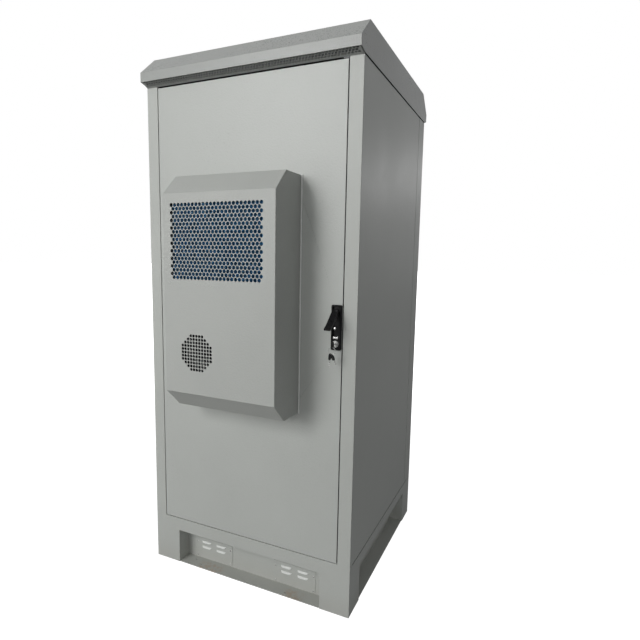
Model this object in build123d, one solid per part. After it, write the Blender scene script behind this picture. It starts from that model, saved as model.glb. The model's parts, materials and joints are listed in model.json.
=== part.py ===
"""Roadside utility cabinet with a door-mounted air conditioner, in millimetres.

The origin is the middle of the footprint on the ground, +Z is up, the door faces -Y.
"""

import os
from math import acos, cos, pi, radians, sin, sqrt, tan

from build123d import *

# Body
WIDTH = 900.0
DEPTH = 860.0
SHEET = 2.0
THIN = 1.5
FOLD_R = 4.0
HALF_W = WIDTH / 2
FRONT = -DEPTH / 2
INNER_FRONT = FRONT + SHEET

# Door opening in the front frame
OPEN_X = 400.0
OPEN_LOW = 198.0
OPEN_TOP = 1960.0
RETURN_DEPTH = 26.0
LIP_WIDTH = 36.0
LIP_FRONT = INNER_FRONT + RETURN_DEPTH
LIP_REAR = LIP_FRONT + SHEET

# Plinth
LEG_X = 330.0
RECESS_TOP = 144.0
RECESS_DEPTH = 62.0
SIDE_LEG_Y = 320.0
SIDE_RECESS_TOP = 150.0
PLINTH_TOP = 193.0
FLANGE_T = 3.0
FLANGE_IN_X = 366.0
FLANGE_IN_Y = 346.0
KICK_Y = FRONT + RECESS_DEPTH
KICK_X = HALF_W - RECESS_DEPTH
ANCHOR_X = 390.0
ANCHOR_Y = 375.0
ANCHOR_R = 9.0
FLANGE_HOLES = ((-274.0, -388.0), (-232.0, -408.0), (176.0, -410.0))
FLOOR_TOP = OPEN_LOW - SHEET
ENTRY_X = (-115.0, 115.0)
ENTRY_Y = 240.0
ENTRY_SIZE = (180.0, 60.0)

# Vent covers on the front kick panel
VENT_X = (100.0, 287.0)
VENT_Z = (8.0, 97.0)
LOUVRE_X = (158.0, 232.0)
LOUVRE_Z = (57.0, 80.0)
LOUVRE_W = 47.0

# Side panels
PANEL_LOW = 198.0
PANEL_TOP = 1958.0
PANEL_REAR = 333.0
POST_GAP = 4.0

# Roof
ROOF_X = 451.5
EAVE = 34.0
FASCIA_LOW = 1972.0
FASCIA_TOP = 2007.0
RIDGE_Z = 2080.0
RIDGE_INSET = 78.0
CHEEK_LOW = 1964.0
TOP_PLATE_Z = 1962.0
SLOT_PITCH = 76.0

# Door
DOOR_GAP = 3.5
DOOR_X = OPEN_X - DOOR_GAP
DOOR_LOW = OPEN_LOW + DOOR_GAP
DOOR_TOP = 1953.0
DOOR_DEPTH = 22.0
DOOR_REAR = FRONT + DOOR_DEPTH
DOOR_FLANGE = 32.0

# Hinges: the pin stands 8 mm in from the door's edge and 7 mm behind its face
PIN_X = -DOOR_X + 8.0
PIN_Y = FRONT + 7.0
PIN_R = 3.0
KNUCKLE_R = 4.5
RUNNING = 0.05
HINGE_Z = (360.0, 1080.0, 1800.0)
KNUCKLE_H = 28.0
KNUCKLE_GAP = 0.4
NOTCH_H = 66.0

# Handle
HANDLE_X = 377.5
HANDLE_Z = (997.0, 1154.0)
HANDLE_HALF_W = 18.2
HANDLE_CORNER = 4.0
HANDLE_FACE = FRONT - 12.0
POCKET_FLOOR = FRONT - 3.0
POCKET_HALF_W = 13.6
TURN_Z = 1134.0
SHAFT_R = 7.0
SPINDLE = 8.0
SPINDLE_INSET = 2.0
LEVER_PIN_Y = FRONT - 11.5
LEVER_HALF_W = 11.5
LEVER_LENGTH = 96.0
LEVER_LIFT = 50.0

# Lock and keys
LOCK_Z = 1019.0
PLUG_R = 7.0
TONGUE_HALF_W = 9.5
KEY_HOLE_Y = -472.0
KEY_HOLE_Z = 1012.0
RING_R = 13.0
RING_WIRE = 0.8

# Latch: a pinion on the spindle drives a rack on each rod
MODULE = 1.25
TEETH = 16
PITCH_R = MODULE * TEETH / 2
ADDENDUM = 0.9 * MODULE
DEDENDUM = 1.25 * MODULE
PRESSURE = radians(20)
BACKLASH = 0.08
GEAR_Y = (FRONT + 8.0, FRONT + 14.0)
ROD_Y = FRONT + 11.0
ROD_R = 4.0
ROD_OFFSET = 11.0
ROD_TIP_GAP = 1.0
KEEPER_T = (2.5, 1.5)
CASE_HALF = 24.0
SHANK_LOW = 44.0
SHANK_TOP = 54.0

# Air conditioner
AC_X = 229.0
AC_Z = (747.0, 1597.0)
AC_DEPTH = 173.0
AC_FOLD_DEPTH = 104.0
AC_FOLD_HEIGHT = 69.0
AC_FACE = FRONT - AC_DEPTH
CUTOUT_X = 212.0
CUTOUT_Z = (765.0, 1580.0)
TRAY_REAR = -330.0
COIL_FINS = (18, 12)
EVAPORATOR_X = 190.0
EVAPORATOR_Z = (1290.0, 1520.0)
PARTITION_Y = FRONT - 4.0

# Large staggered field of the cover
FIELD_PITCH = 15.3
FIELD_ROWS = 20
FIELD_WIDE = 25
FIELD_X = -191.0
FIELD_TOP_Z = 1487.0
FIELD_SLOT = 10.2
FIELD_EDGE = 10.0

# Small square field of the cover
GRID_PITCH = 12.2
GRID_ROWS = (5, 7, 9, 11, 11, 11, 11, 11, 9, 7, 5)
GRID_X = -89.0
GRID_Z = 968.0
GRID_HOLE = 8.4

# Fans: centre X and Z, front and back of each rotor
OUT_FAN = (GRID_X, GRID_Z, AC_FACE + 10, AC_FACE + 34)
IN_FAN = (0.0, 960.0, TRAY_REAR - 32, TRAY_REAR - 8)
FAN_R = 70.0
FAN_HUB_R = 24.0
FAN_BLADES = 7

# Compressor: centre X and Y, radius, bottom and top
COMPRESSOR = (110.0, -484.0, 44.0, 768.0, 940.0)

# Rack
RACK_HALF = 225.0
RAIL_Z = (OPEN_LOW + 1.0, OPEN_TOP - 1.0)
RAIL_Y = 290.0
BAR_H = 34.0


def box_points(a0, a1, b0, b1):
    """Corners of a rectangle in a prism's own two directions."""
    return [(a0, b0), (a1, b0), (a1, b1), (a0, b1)]


def outline(points):
    """A face inside a closed line of points."""
    return make_face(Polyline(*points, close=True))


def along_x(face, x0, x1):
    """Solid of a (y, z) face between two X values."""
    plane = Plane(origin=(x0, 0, 0), x_dir=(0, 1, 0), z_dir=(1, 0, 0))
    return extrude(plane * face, x1 - x0)


def along_y(face, y0, y1):
    """Solid of an (x, z) face between two Y values."""
    plane = Plane(origin=(0, y1, 0), x_dir=(1, 0, 0), z_dir=(0, -1, 0))
    return extrude(plane * face, y1 - y0)


def along_z(face, z0, z1):
    """Solid of an (x, y) face between two Z values."""
    return extrude(Pos(0, 0, z0) * face, z1 - z0)


def rect(a0, a1, b0, b1):
    """A rectangular face."""
    return outline(box_points(a0, a1, b0, b1))


def disc(a, b, radius):
    """A round face."""
    return Pos(a, b) * Circle(radius)


def facet_disc(a, b, radius, sides):
    """A many-sided face that clears a circle of the given radius."""
    return Pos(a, b) * RegularPolygon(radius, sides, major_radius=False)


def rod_y(x, z, radius, y0, y1):
    """A round bar along Y."""
    return along_y(disc(x, z, radius), y0, y1)


def rod_z(x, y, radius, z0, z1):
    """A round bar along Z."""
    return along_z(disc(x, y, radius), z0, z1)


def ring_face(half_x, z0, z1, width):
    """A rectangular ring, with its outer edge given and its width inwards."""
    inner = rect(-half_x + width, half_x - width, z0 + width, z1 - width)
    return rect(-half_x, half_x, z0, z1) - inner


def group(parts):
    """Several solids in one node."""
    return Compound(children=[solid for part in parts for solid in part.solids()])


def mirrored(part, plane):
    """A part and its mirror image."""
    return group([part, mirror(part, plane)])


def face_plate():
    """The flat front of the frame, from the ground to the eaves, with both openings."""
    face = rect(-HALF_W, HALF_W, 0, FASCIA_LOW)
    face -= rect(-OPEN_X, OPEN_X, OPEN_LOW, OPEN_TOP)
    face -= rect(-LEG_X, LEG_X, -1, RECESS_TOP)
    return along_y(face, FRONT, INNER_FRONT)


def leg_returns():
    """The folds that line the recess between the legs."""
    outer = rect(-LEG_X - SHEET, LEG_X + SHEET, FLANGE_T, RECESS_TOP + SHEET)
    return along_y(outer - rect(-LEG_X, LEG_X, 0, RECESS_TOP), INNER_FRONT, KICK_Y)


def door_frame():
    """The welded front frame: face, folds round the opening, gasket lip and side folds."""
    ring = ring_face(OPEN_X + SHEET, OPEN_LOW - SHEET, OPEN_TOP + SHEET, SHEET)
    lip = ring_face(OPEN_X + SHEET, OPEN_LOW - SHEET, OPEN_TOP + SHEET, LIP_WIDTH + SHEET)
    side = rect(HALF_W - 3.5, HALF_W - SHEET, INNER_FRONT, LIP_REAR)
    sides = [along_z(face, FLANGE_T, TOP_PLATE_Z) for face in (side, mirror(side, Plane.YZ))]
    folds = [along_y(ring, INNER_FRONT, LIP_FRONT), along_y(lip, LIP_FRONT, LIP_REAR)]
    return face_plate() + leg_returns() + folds + sides


def front_frame():
    """The front frame with the two holes that the latch rods shoot into."""
    frame = door_frame()
    upper = facet_disc(HANDLE_X + ROD_OFFSET, ROD_Y, ROD_R + 0.5, 8)
    lower = facet_disc(HANDLE_X - ROD_OFFSET, ROD_Y, ROD_R + 0.5, 8)
    return frame - along_z(upper, OPEN_TOP - 1, OPEN_TOP + 5) - along_z(lower, OPEN_LOW - 5, OPEN_LOW + 1)


def rear_frame():
    """The same frame at the back, with wide flanges that the side panels stop at."""
    flange = rect(HALF_W - THIN, HALF_W, PANEL_REAR + POST_GAP, -INNER_FRONT)
    fold = rect(HALF_W - 14, HALF_W, PANEL_REAR + POST_GAP, PANEL_REAR + POST_GAP + THIN)
    faces = [flange, fold, mirror(flange, Plane.YZ), mirror(fold, Plane.YZ)]
    return mirror(door_frame(), Plane.XZ) + [along_z(face, PANEL_LOW, PANEL_TOP) for face in faces]


def plinth_side():
    """The right plinth side: face with legs, folds of the recess and its set-back panel."""
    reach = -INNER_FRONT
    face = rect(-reach, reach, 0, PLINTH_TOP) - rect(-SIDE_LEG_Y, SIDE_LEG_Y, -1, SIDE_RECESS_TOP)
    lining = rect(-SIDE_LEG_Y - SHEET, SIDE_LEG_Y + SHEET, FLANGE_T, SIDE_RECESS_TOP + SHEET)
    back = along_x(lining, KICK_X - SHEET, KICK_X)
    lining -= rect(-SIDE_LEG_Y, SIDE_LEG_Y, 0, SIDE_RECESS_TOP)
    return along_x(face, HALF_W - SHEET, HALF_W) + along_x(lining, KICK_X, HALF_W - SHEET) + back


def kick_panel_front():
    """The set-back front panel, open behind the two vent covers."""
    face = rect(-LEG_X - SHEET, LEG_X + SHEET, FLANGE_T, RECESS_TOP + SHEET + 14)
    for side in (-1, 1):
        x0, x1 = sorted((side * (VENT_X[0] + 22), side * (VENT_X[1] - 22)))
        face -= rect(x0, x1, VENT_Z[0] + 32, VENT_Z[1] - 6)
    return along_y(face, KICK_Y, KICK_Y + SHEET)


def kick_panel_rear():
    """The plain set-back rear panel."""
    face = rect(-LEG_X - SHEET, LEG_X + SHEET, FLANGE_T, RECESS_TOP + SHEET + 14)
    return along_y(face, -KICK_Y - SHEET, -KICK_Y)


def base_flange():
    """The ring that stands on the ground, with anchor holes at its corners."""
    reach_x = HALF_W - 3.5
    face = rect(-reach_x, reach_x, INNER_FRONT, -INNER_FRONT)
    face -= rect(-FLANGE_IN_X, FLANGE_IN_X, -FLANGE_IN_Y, FLANGE_IN_Y)
    face -= [disc(x, y, ANCHOR_R) for x in (-ANCHOR_X, ANCHOR_X) for y in (-ANCHOR_Y, ANCHOR_Y)]
    face -= [facet_disc(x, y, 4.0, 8) for x, y in FLANGE_HOLES]
    return along_z(face, 0, FLANGE_T)


def floor_plate():
    """The floor, with a rectangular cut-out under each entry plate."""
    reach = HALF_W - 3.5
    face = rect(-reach, reach, INNER_FRONT, -INNER_FRONT)
    face -= [Pos(x, ENTRY_Y) * Rectangle(ENTRY_SIZE[0] + 20, ENTRY_SIZE[1] + 30) for x in ENTRY_X]
    return along_z(face, PLINTH_TOP, FLOOR_TOP)


def entry_plates():
    """Two plates over the floor's cut-outs, each with one long cable slot."""
    face = Rectangle(ENTRY_SIZE[0] + 30, ENTRY_SIZE[1] + 60) - Rectangle(*ENTRY_SIZE)
    return group([along_z(Pos(x, ENTRY_Y) * face, FLOOR_TOP, FLOOR_TOP + 3) for x in ENTRY_X])


def louvre(x, z):
    """A pressed hood over one vent slit, open downwards."""
    y = KICK_Y - THIN
    section = outline(
        [(y, z + 5), (y - 5, z - 1), (y - 5, z - 4), (y - 4, z - 4), (y - 4, z - 1.6), (y, z + 3.2)]
    )
    return along_x(section, x - LOUVRE_W / 2, x + LOUVRE_W / 2)


def vent_covers():
    """Two plates on the kick panel, each with two rows of two louvres."""
    covers = []
    for side in (-1, 1):
        x0, x1 = sorted((side * VENT_X[0], side * VENT_X[1]))
        places = [(side * x, z) for x in LOUVRE_X for z in LOUVRE_Z]
        face = rect(x0, x1, *VENT_Z)
        half = LOUVRE_W / 2 - 1
        face -= [rect(x - half, x + half, z - 3, z + 2.5) for x, z in places]
        covers.append(along_y(face, KICK_Y - THIN, KICK_Y) + [louvre(x, z) for x, z in places])
    return group(covers)


def vent_screws():
    """Pan heads at the corners of the vent covers."""
    heads = []
    for side in (-1, 1):
        for x in (VENT_X[0] + 10, VENT_X[1] - 8):
            for z in (VENT_Z[0] + 6, VENT_Z[1] - 21):
                head = Pos(side * x, z) * RegularPolygon(4, 6)
                heads.append(along_y(head, KICK_Y - THIN - 2.2, KICK_Y - THIN))
    return group(heads)


def side_panel():
    """The right side panel: a sheet with folds on its lower, upper and rear edges."""
    sheet = along_x(rect(INNER_FRONT + 0.5, PANEL_REAR, PANEL_LOW, PANEL_TOP), HALF_W - THIN, HALF_W)
    section = rect(LIP_REAR + 2, PANEL_REAR, PANEL_LOW, PANEL_TOP)
    section -= rect(LIP_REAR + 2, PANEL_REAR - THIN, PANEL_LOW + THIN, PANEL_TOP - THIN)
    return sheet + along_x(section, HALF_W - 16, HALF_W - THIN)


def rear_panel():
    """The removable rear panel, a shallow pan in the rear frame's opening."""
    y = -INNER_FRONT
    sheet = along_y(rect(-DOOR_X, DOOR_X, DOOR_LOW, OPEN_TOP - DOOR_GAP), y, y + SHEET)
    fold = along_y(ring_face(DOOR_X, DOOR_LOW, OPEN_TOP - DOOR_GAP, THIN), -LIP_FRONT, y)
    return sheet + fold


def hexagon_screws():
    """Hexagon heads along the rear panel's sides and under the top plate, below the roof's channels."""
    heads = []
    for x in (-380.0, 380.0):
        for z in (260.0, 820.0, 1370.0, 1900.0):
            heads.append(along_y(Pos(x, z) * RegularPolygon(6.5, 6), -FRONT, -FRONT + 4))
        for y in (-240.0, 240.0):
            heads.append(along_z(Pos(x, y) * RegularPolygon(6.5, 6), TOP_PLATE_Z - 4, TOP_PLATE_Z))
    return group(heads)


def top_plate():
    """The cabinet's own top, under the ventilated roof."""
    reach = HALF_W - 3.5
    return along_z(rect(-reach, reach, INNER_FRONT, -INNER_FRONT), TOP_PLATE_Z, TOP_PLATE_Z + SHEET)


def roof_section(low, cheek=()):
    """Section of the hood in Y and Z with rounded folds; its fascias reach down to a given height."""
    edge = -FRONT + EAVE
    half = [(edge, low), (edge, FASCIA_TOP), (edge - RIDGE_INSET, RIDGE_Z)]
    face = outline([(-y, z) for y, z in half] + [(y, z) for y, z in reversed(half)] + list(cheek))
    folds = [corner for corner in face.vertices() if corner.Y > FASCIA_TOP - 1]
    return fillet(folds, FOLD_R)


def roof_hood():
    """The folded hood: flat top, two slopes, two fascias and a welded cheek at each end."""
    hood = along_x(roof_section(FASCIA_LOW, [(-FRONT, CHEEK_LOW), (FRONT, CHEEK_LOW)]), -ROOF_X, ROOF_X)
    inner = offset(roof_section(CHEEK_LOW - 10), -SHEET, kind=Kind.INTERSECTION)
    return hood - along_x(inner, -ROOF_X + THIN, ROOF_X - THIN)


def eave_strip():
    """The sloping strip under the front eave, with a row of air slots."""
    outer = (FRONT - EAVE + SHEET, FASCIA_LOW + 0.5)
    inner = (FRONT, OPEN_TOP - 1.5)
    section = [outer, inner, (inner[0], inner[1] + THIN), (outer[0], outer[1] + THIN)]
    strip = along_x(outline(section), -HALF_W + 2, HALF_W - 2)
    low = FASCIA_LOW - 4.5
    half = 0.4 * SLOT_PITCH
    slots = [rect(SLOT_PITCH * k - half, SLOT_PITCH * k + half, low, low + 4) for k in range(-5, 6)]
    return strip - along_y(Sketch() + slots, outer[0] - 1, INNER_FRONT - 10)


def roof_supports():
    """Two folded channels that carry the hood above the top plate."""
    low, high = TOP_PLATE_Z + SHEET, RIDGE_Z - SHEET
    section = outline(
        [(220, low), (260, low), (260, low + SHEET), (222, low + SHEET), (222, high - SHEET),
         (260, high - SHEET), (260, high), (220, high)]
    )
    return mirrored(along_x(section, -400, 400), Plane.XZ)


def rack_rails():
    """Four folded uprights of the 19-inch frame."""
    rails = []
    inner, outer = RACK_HALF, RACK_HALF + 25
    section = outline(
        [(inner, 0), (outer, 0), (outer, 32), (outer - 12, 32), (outer - 12, 30), (outer - SHEET, 30),
         (outer - SHEET, SHEET), (inner, SHEET)]
    )
    for flip in (1, -1):
        rail = along_z(Pos(0, -RAIL_Y) * section, *RAIL_Z)
        rail = rail if flip == 1 else mirror(rail, Plane.XZ)
        rails += [rail, mirror(rail, Plane.YZ)]
    return group(rails)


def rail_brackets():
    """Four channels from the front frame to the rear frame that carry the rails."""
    x = RACK_HALF + 25
    bars = []
    for z in (RAIL_Z[0], RAIL_Z[1] - BAR_H):
        top = z + BAR_H
        section = outline(
            [(x, z), (x + 30, z), (x + 30, z + SHEET), (x + SHEET, z + SHEET), (x + SHEET, top - SHEET),
             (x + 30, top - SHEET), (x + 30, top), (x, top)]
        )
        bar = along_y(section, LIP_REAR, -LIP_REAR)
        bars += [bar, mirror(bar, Plane.YZ)]
    return group(bars)


def ground_bar():
    """Copper earth bar with its four stud holes, on the floor at the back."""
    face = rect(-150, 150, 0, 25) - [facet_disc(x, 12.5, 4.5, 8) for x in (-105, -35, 35, 105)]
    return Pos(0, 0, FLOOR_TOP + 20) * along_y(face, 360, 365)


def ground_bar_posts():
    """Two insulators under the earth bar."""
    posts = [along_z(Pos(x, 362.5) * RegularPolygon(11, 8), FLOOR_TOP, FLOOR_TOP + 20) for x in (-140, 140)]
    return group(posts)


def hinge_bracket(z):
    """Hooked arm and lower knuckle of one lift-off hinge, which clears the door's edge as it swings."""
    arm = outline(
        [(0.5, 4), (4.2, 1.5), (8.5, 8), (8.5, 17), (-9, 17), (-9, 20.7), (-11.5, 20.7), (-11.5, 14),
         (5.5, 14), (5.5, 9)]
    )
    knuckle = facet_disc(0, 0, KNUCKLE_R, 12) - facet_disc(0, 0, PIN_R, 12)
    section = knuckle + (arm - facet_disc(0, 0, PIN_R, 12))
    return Pos(PIN_X, PIN_Y, 0) * along_z(section, z - KNUCKLE_H, z)


def hinge_leaf(z):
    """Door side of one hinge: a leaf on the door's inner face with the upper knuckle."""
    low, high = z + KNUCKLE_GAP, z + KNUCKLE_H
    leaf = along_z(rect(8, 45, -5, -3), z - KNUCKLE_H, high)
    ear = outline([(0, -4.4), (8, -5), (8, -3), (3.5, 1)])
    knuckle = facet_disc(0, 0, KNUCKLE_R, 12) + ear - facet_disc(0, 0, PIN_R + RUNNING, 16)
    return Pos(PIN_X, PIN_Y, 0) * (leaf + along_z(knuckle, low, high))


def hinge_pin(z):
    """Pin of one hinge, held in the lower knuckle."""
    return rod_z(PIN_X, PIN_Y, PIN_R, z - KNUCKLE_H, z + KNUCKLE_H - 1)


def rod_keepers():
    """Keeper plates above and below the rods, each with the hole its rod shoots into."""
    plates = []
    for x, z0, z1 in (
        (HANDLE_X + ROD_OFFSET, OPEN_TOP - KEEPER_T[0], OPEN_TOP),
        (HANDLE_X - ROD_OFFSET, OPEN_LOW, OPEN_LOW + KEEPER_T[1]),
    ):
        face = rect(x - 11, x + 11, INNER_FRONT, LIP_FRONT - 2) - facet_disc(x, ROD_Y, ROD_R + 0.4, 8)
        plates.append(along_z(face, z0, z1))
    return group(plates)


def door_panel():
    """The door: a pan with folded edges, notched at the hinges and cut out for the unit."""
    sheet = rect(-DOOR_X, DOOR_X, DOOR_LOW, DOOR_TOP)
    sheet -= rect(-CUTOUT_X, CUTOUT_X, *CUTOUT_Z)
    sheet -= [facet_disc(HANDLE_X, TURN_Z, SHAFT_R + 1, 12), facet_disc(HANDLE_X, LOCK_Z, 9.5, 12)]
    pan = along_y(sheet, FRONT, INNER_FRONT)
    pan += along_y(ring_face(DOOR_X, DOOR_LOW, DOOR_TOP, SHEET), INNER_FRONT, DOOR_REAR)
    pan += along_y(ring_face(DOOR_X, DOOR_LOW, DOOR_TOP, DOOR_FLANGE), DOOR_REAR - SHEET, DOOR_REAR)
    for z in HINGE_Z:
        notch = rect(-DOOR_X - 1, PIN_X + 11, INNER_FRONT, DOOR_REAR + 1)
        pan -= along_z(notch, z - NOTCH_H / 2, z + NOTCH_H / 2)
    pan -= along_z(facet_disc(HANDLE_X + ROD_OFFSET, ROD_Y, ROD_R + 0.3, 8), DOOR_TOP - 5, DOOR_TOP + 1)
    pan -= along_z(facet_disc(HANDLE_X - ROD_OFFSET, ROD_Y, ROD_R + 0.3, 8), DOOR_LOW - 1, DOOR_LOW + 5)
    return pan


def door_gasket():
    """Foam seal on the door's rear flange, which meets the frame's lip."""
    inset = 20.0
    face = ring_face(DOOR_X - inset, DOOR_LOW + inset, DOOR_TOP - inset, 10)
    return along_y(face, DOOR_REAR, LIP_FRONT - 0.3)


def door_stiffeners():
    """Two upright top-hat sections on the door's inner face."""
    low, high = INNER_FRONT, INNER_FRONT + 18
    section = outline(
        [(270, low), (282, low), (282, high - THIN), (298, high - THIN), (298, low), (310, low),
         (310, low + THIN), (299.5, low + THIN), (299.5, high), (280.5, high), (280.5, low + THIN),
         (270, low + THIN)]
    )
    return mirrored(along_z(section, DOOR_LOW + 60, DOOR_TOP - 60), Plane.YZ)


def handle_base():
    """Black base plate with the pocket that the lever folds into and the seat of the lock."""
    z0, z1 = HANDLE_Z
    mid = (z0 + z1) / 2
    face = Pos(HANDLE_X, mid) * RectangleRounded(2 * HANDLE_HALF_W, z1 - z0, HANDLE_CORNER)
    base = along_y(face, HANDLE_FACE, FRONT)
    base = chamfer(base.faces().sort_by(Axis.Y)[0].edges(), 1.5)
    pocket = rect(HANDLE_X - POCKET_HALF_W, HANDLE_X + POCKET_HALF_W, LOCK_Z + 25, z1 - 5)
    base -= along_y(pocket, HANDLE_FACE - 1, POCKET_FLOOR)
    seat = rect(HANDLE_X - TONGUE_HALF_W - 0.2, HANDLE_X + TONGUE_HALF_W + 0.2, LOCK_Z + 12.5, LOCK_Z + 26)
    base -= along_y(seat, HANDLE_FACE - 1, FRONT - 4.5)
    base -= along_y(facet_disc(HANDLE_X, TURN_Z, SHAFT_R + RUNNING, 24), FRONT - 10, FRONT + 1)
    base -= along_y(Pos(HANDLE_X, LOCK_Z) * RegularPolygon(9.05, 12), HANDLE_FACE - 1, FRONT + 1)
    return base


def handle_hub():
    """Turning hub: disc in the pocket, tongue for the lever's pin, shaft and square spindle."""
    tongue = rect(LEVER_PIN_Y, POCKET_FLOOR - 1, TURN_Z - 5, TURN_Z + 5)
    tongue += Pos(LEVER_PIN_Y, TURN_Z) * RegularPolygon(5, 12)
    hub = along_x(tongue, HANDLE_X - 5, HANDLE_X + 5)
    hub += along_y(Pos(HANDLE_X, TURN_Z) * RegularPolygon(12.7, 24), POCKET_FLOOR - 3, POCKET_FLOOR - 0.3)
    hub += rod_y(HANDLE_X, TURN_Z, SHAFT_R, POCKET_FLOOR - 1, GEAR_Y[0] - 0.5)
    half = SPINDLE / 2
    square = rect(HANDLE_X - half, HANDLE_X + half, TURN_Z - half, TURN_Z + half)
    hub += along_y(square, GEAR_Y[0] - 1, GEAR_Y[1] - SPINDLE_INSET)
    return hub - along_x(disc(LEVER_PIN_Y, TURN_Z, 2 + RUNNING), HANDLE_X - 6, HANDLE_X + 6)


def lever():
    """Pull lever, drawn folded down and then lifted about its pin as it stands at rest."""
    y, z = LEVER_PIN_Y, TURN_Z
    tip = z - LEVER_LENGTH
    back = Polyline((y + 4, z - 3), (y + 4, tip + 9), (y - 2.5, tip + 7), (y - 2.5, tip))
    end = Line((y - 2.5, tip), (y - 9, tip + 2))
    swell = [(y - 6.6, tip + 18), (y - 6, z - 56), (y - 7.2, z - 28), (y - 6.5, z - 10)]
    front = Polyline((y - 9, tip + 2), *swell, (y - 4.5, z + 2))
    close = Line((y - 4.5, z + 2), (y + 4, z - 3))
    section = make_face(back + end + front + close) + Pos(y, z) * RegularPolygon(5, 16)
    body = along_x(section, HANDLE_X - LEVER_HALF_W, HANDLE_X + LEVER_HALF_W)
    slot = rect(y - 7, y + 7, z - 8, z + 7)
    body -= along_x(slot, HANDLE_X - 5.4, HANDLE_X + 5.4)
    body -= along_x(disc(y, z, 2 + RUNNING), HANDLE_X - 13, HANDLE_X + 13)
    pin = Axis((HANDLE_X, y, z), (1, 0, 0))
    return body.rotate(pin, -LEVER_LIFT)


def lever_pin():
    """Cross pin of the lever."""
    return along_x(disc(LEVER_PIN_Y, TURN_Z, 2), HANDLE_X - LEVER_HALF_W, HANDLE_X + LEVER_HALF_W)


def involute_half_angle(radius):
    """Half the angle that a pinion tooth covers at a radius."""
    base = PITCH_R * cos(PRESSURE)
    at_pitch = pi / (2 * TEETH) - BACKLASH / (2 * PITCH_R)
    turn = acos(min(1.0, base / radius))
    return at_pitch + (tan(PRESSURE) - PRESSURE) - (tan(turn) - turn)


def pinion():
    """Spur pinion with involute flanks and a square bore."""
    radii = (PITCH_R - DEDENDUM, PITCH_R * cos(PRESSURE), PITCH_R, PITCH_R + ADDENDUM)
    flank = [(r, involute_half_angle(max(r, radii[1]))) for r in radii]
    points = []
    for k in range(TEETH):
        middle = 2 * pi * k / TEETH
        for r, half in flank:
            points.append((r * cos(middle - half), r * sin(middle - half)))
        for r, half in reversed(flank):
            points.append((r * cos(middle + half), r * sin(middle + half)))
    face = Pos(HANDLE_X, TURN_Z) * (outline(points) - Rectangle(SPINDLE, SPINDLE))
    return along_y(face, *GEAR_Y)


def rack_points(first, last):
    """Outline of a rack whose teeth point to -X, with a gap at Z 0."""
    pitch = pi * MODULE
    half = pitch / 4 - BACKLASH / 4
    lean = tan(PRESSURE)
    root, tip = DEDENDUM, -ADDENDUM
    points = []
    for k in range(first, last):
        z = (k + 0.5) * pitch
        points += [(root, z - half - root * lean), (tip, z - half - tip * lean)]
        points += [(tip, z + half + tip * lean), (root, z + half + root * lean)]
    low, high = points[0][1] - 3, points[-1][1] + 3
    return [(root, low)] + points + [(root, high), (root + 3, high), (root + 3, low)]


def upper_rod():
    """Rack and rod that shoot up into the header; they run on the pinion's right."""
    face = Pos(HANDLE_X + PITCH_R, TURN_Z) * outline(rack_points(-2, 6))
    rod = along_y(face, *GEAR_Y)
    x0, x1 = HANDLE_X + PITCH_R + DEDENDUM - 3.5, HANDLE_X + PITCH_R + DEDENDUM + 3
    rod += along_y(rect(x0, x1, TURN_Z + 25, TURN_Z + SHANK_TOP), *GEAR_Y)
    tip = OPEN_TOP - KEEPER_T[0] - ROD_TIP_GAP
    return rod + rod_z(HANDLE_X + ROD_OFFSET, ROD_Y, ROD_R, TURN_Z + SHANK_LOW, tip)


def lower_rod():
    """Rack and rod that shoot down into the sill; they run on the pinion's left."""
    face = Pos(HANDLE_X - PITCH_R, TURN_Z) * (Rot(0, 0, 180) * outline(rack_points(-2, 6)))
    rod = along_y(face, *GEAR_Y)
    x0, x1 = HANDLE_X - PITCH_R - DEDENDUM - 3, HANDLE_X - PITCH_R - DEDENDUM + 3.5
    rod += along_y(rect(x0, x1, TURN_Z - SHANK_TOP, TURN_Z - 25), *GEAR_Y)
    tip = OPEN_LOW + KEEPER_T[1] + ROD_TIP_GAP
    return rod + rod_z(HANDLE_X - ROD_OFFSET, ROD_Y, ROD_R, tip, TURN_Z - SHANK_LOW)


def latch_case():
    """Channel on the door's inner face that guides both racks."""
    low, high = INNER_FRONT, GEAR_Y[1] + 1.5
    right = HANDLE_X + PITCH_R + DEDENDUM + 3.1
    left = HANDLE_X - PITCH_R - DEDENDUM - 3.1
    section = outline(
        [(left - 2, low), (right + 1.8, low), (right + 1.8, high), (right - 2, high), (right - 2, high - 1),
         (right, high - 1), (right, low + 2), (left, low + 2), (left, high - 1), (left + 2, high - 1),
         (left + 2, high), (left - 2, high)]
    )
    case = along_z(section, TURN_Z - CASE_HALF, TURN_Z + CASE_HALF)
    return case - along_y(facet_disc(HANDLE_X, TURN_Z, SHAFT_R + RUNNING, 24), low - 1, low + 3)


def rod_guides():
    """Four blocks on the door's inner face that the rods slide through."""
    blocks = []
    for side, heights in ((1, (1480.0, 1890.0)), (-1, (700.0, 270.0))):
        x = HANDLE_X + side * ROD_OFFSET
        section = rect(x - 7, x + 5.9, INNER_FRONT, ROD_Y + 7)
        section -= facet_disc(x, ROD_Y, ROD_R + RUNNING, 12)
        blocks += [along_z(section, z - 8, z + 8) for z in heights]
    return group(blocks)


def lock_barrel():
    """Bright lock housing with its front flange."""
    barrel = along_y(Pos(HANDLE_X, LOCK_Z) * RegularPolygon(12, 24), HANDLE_FACE - 3, HANDLE_FACE)
    barrel += along_y(Pos(HANDLE_X, LOCK_Z) * RegularPolygon(9, 12), HANDLE_FACE - 1, FRONT + 5)
    return barrel - rod_y(HANDLE_X, LOCK_Z, PLUG_R + RUNNING, HANDLE_FACE - 4, FRONT + 6)


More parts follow.
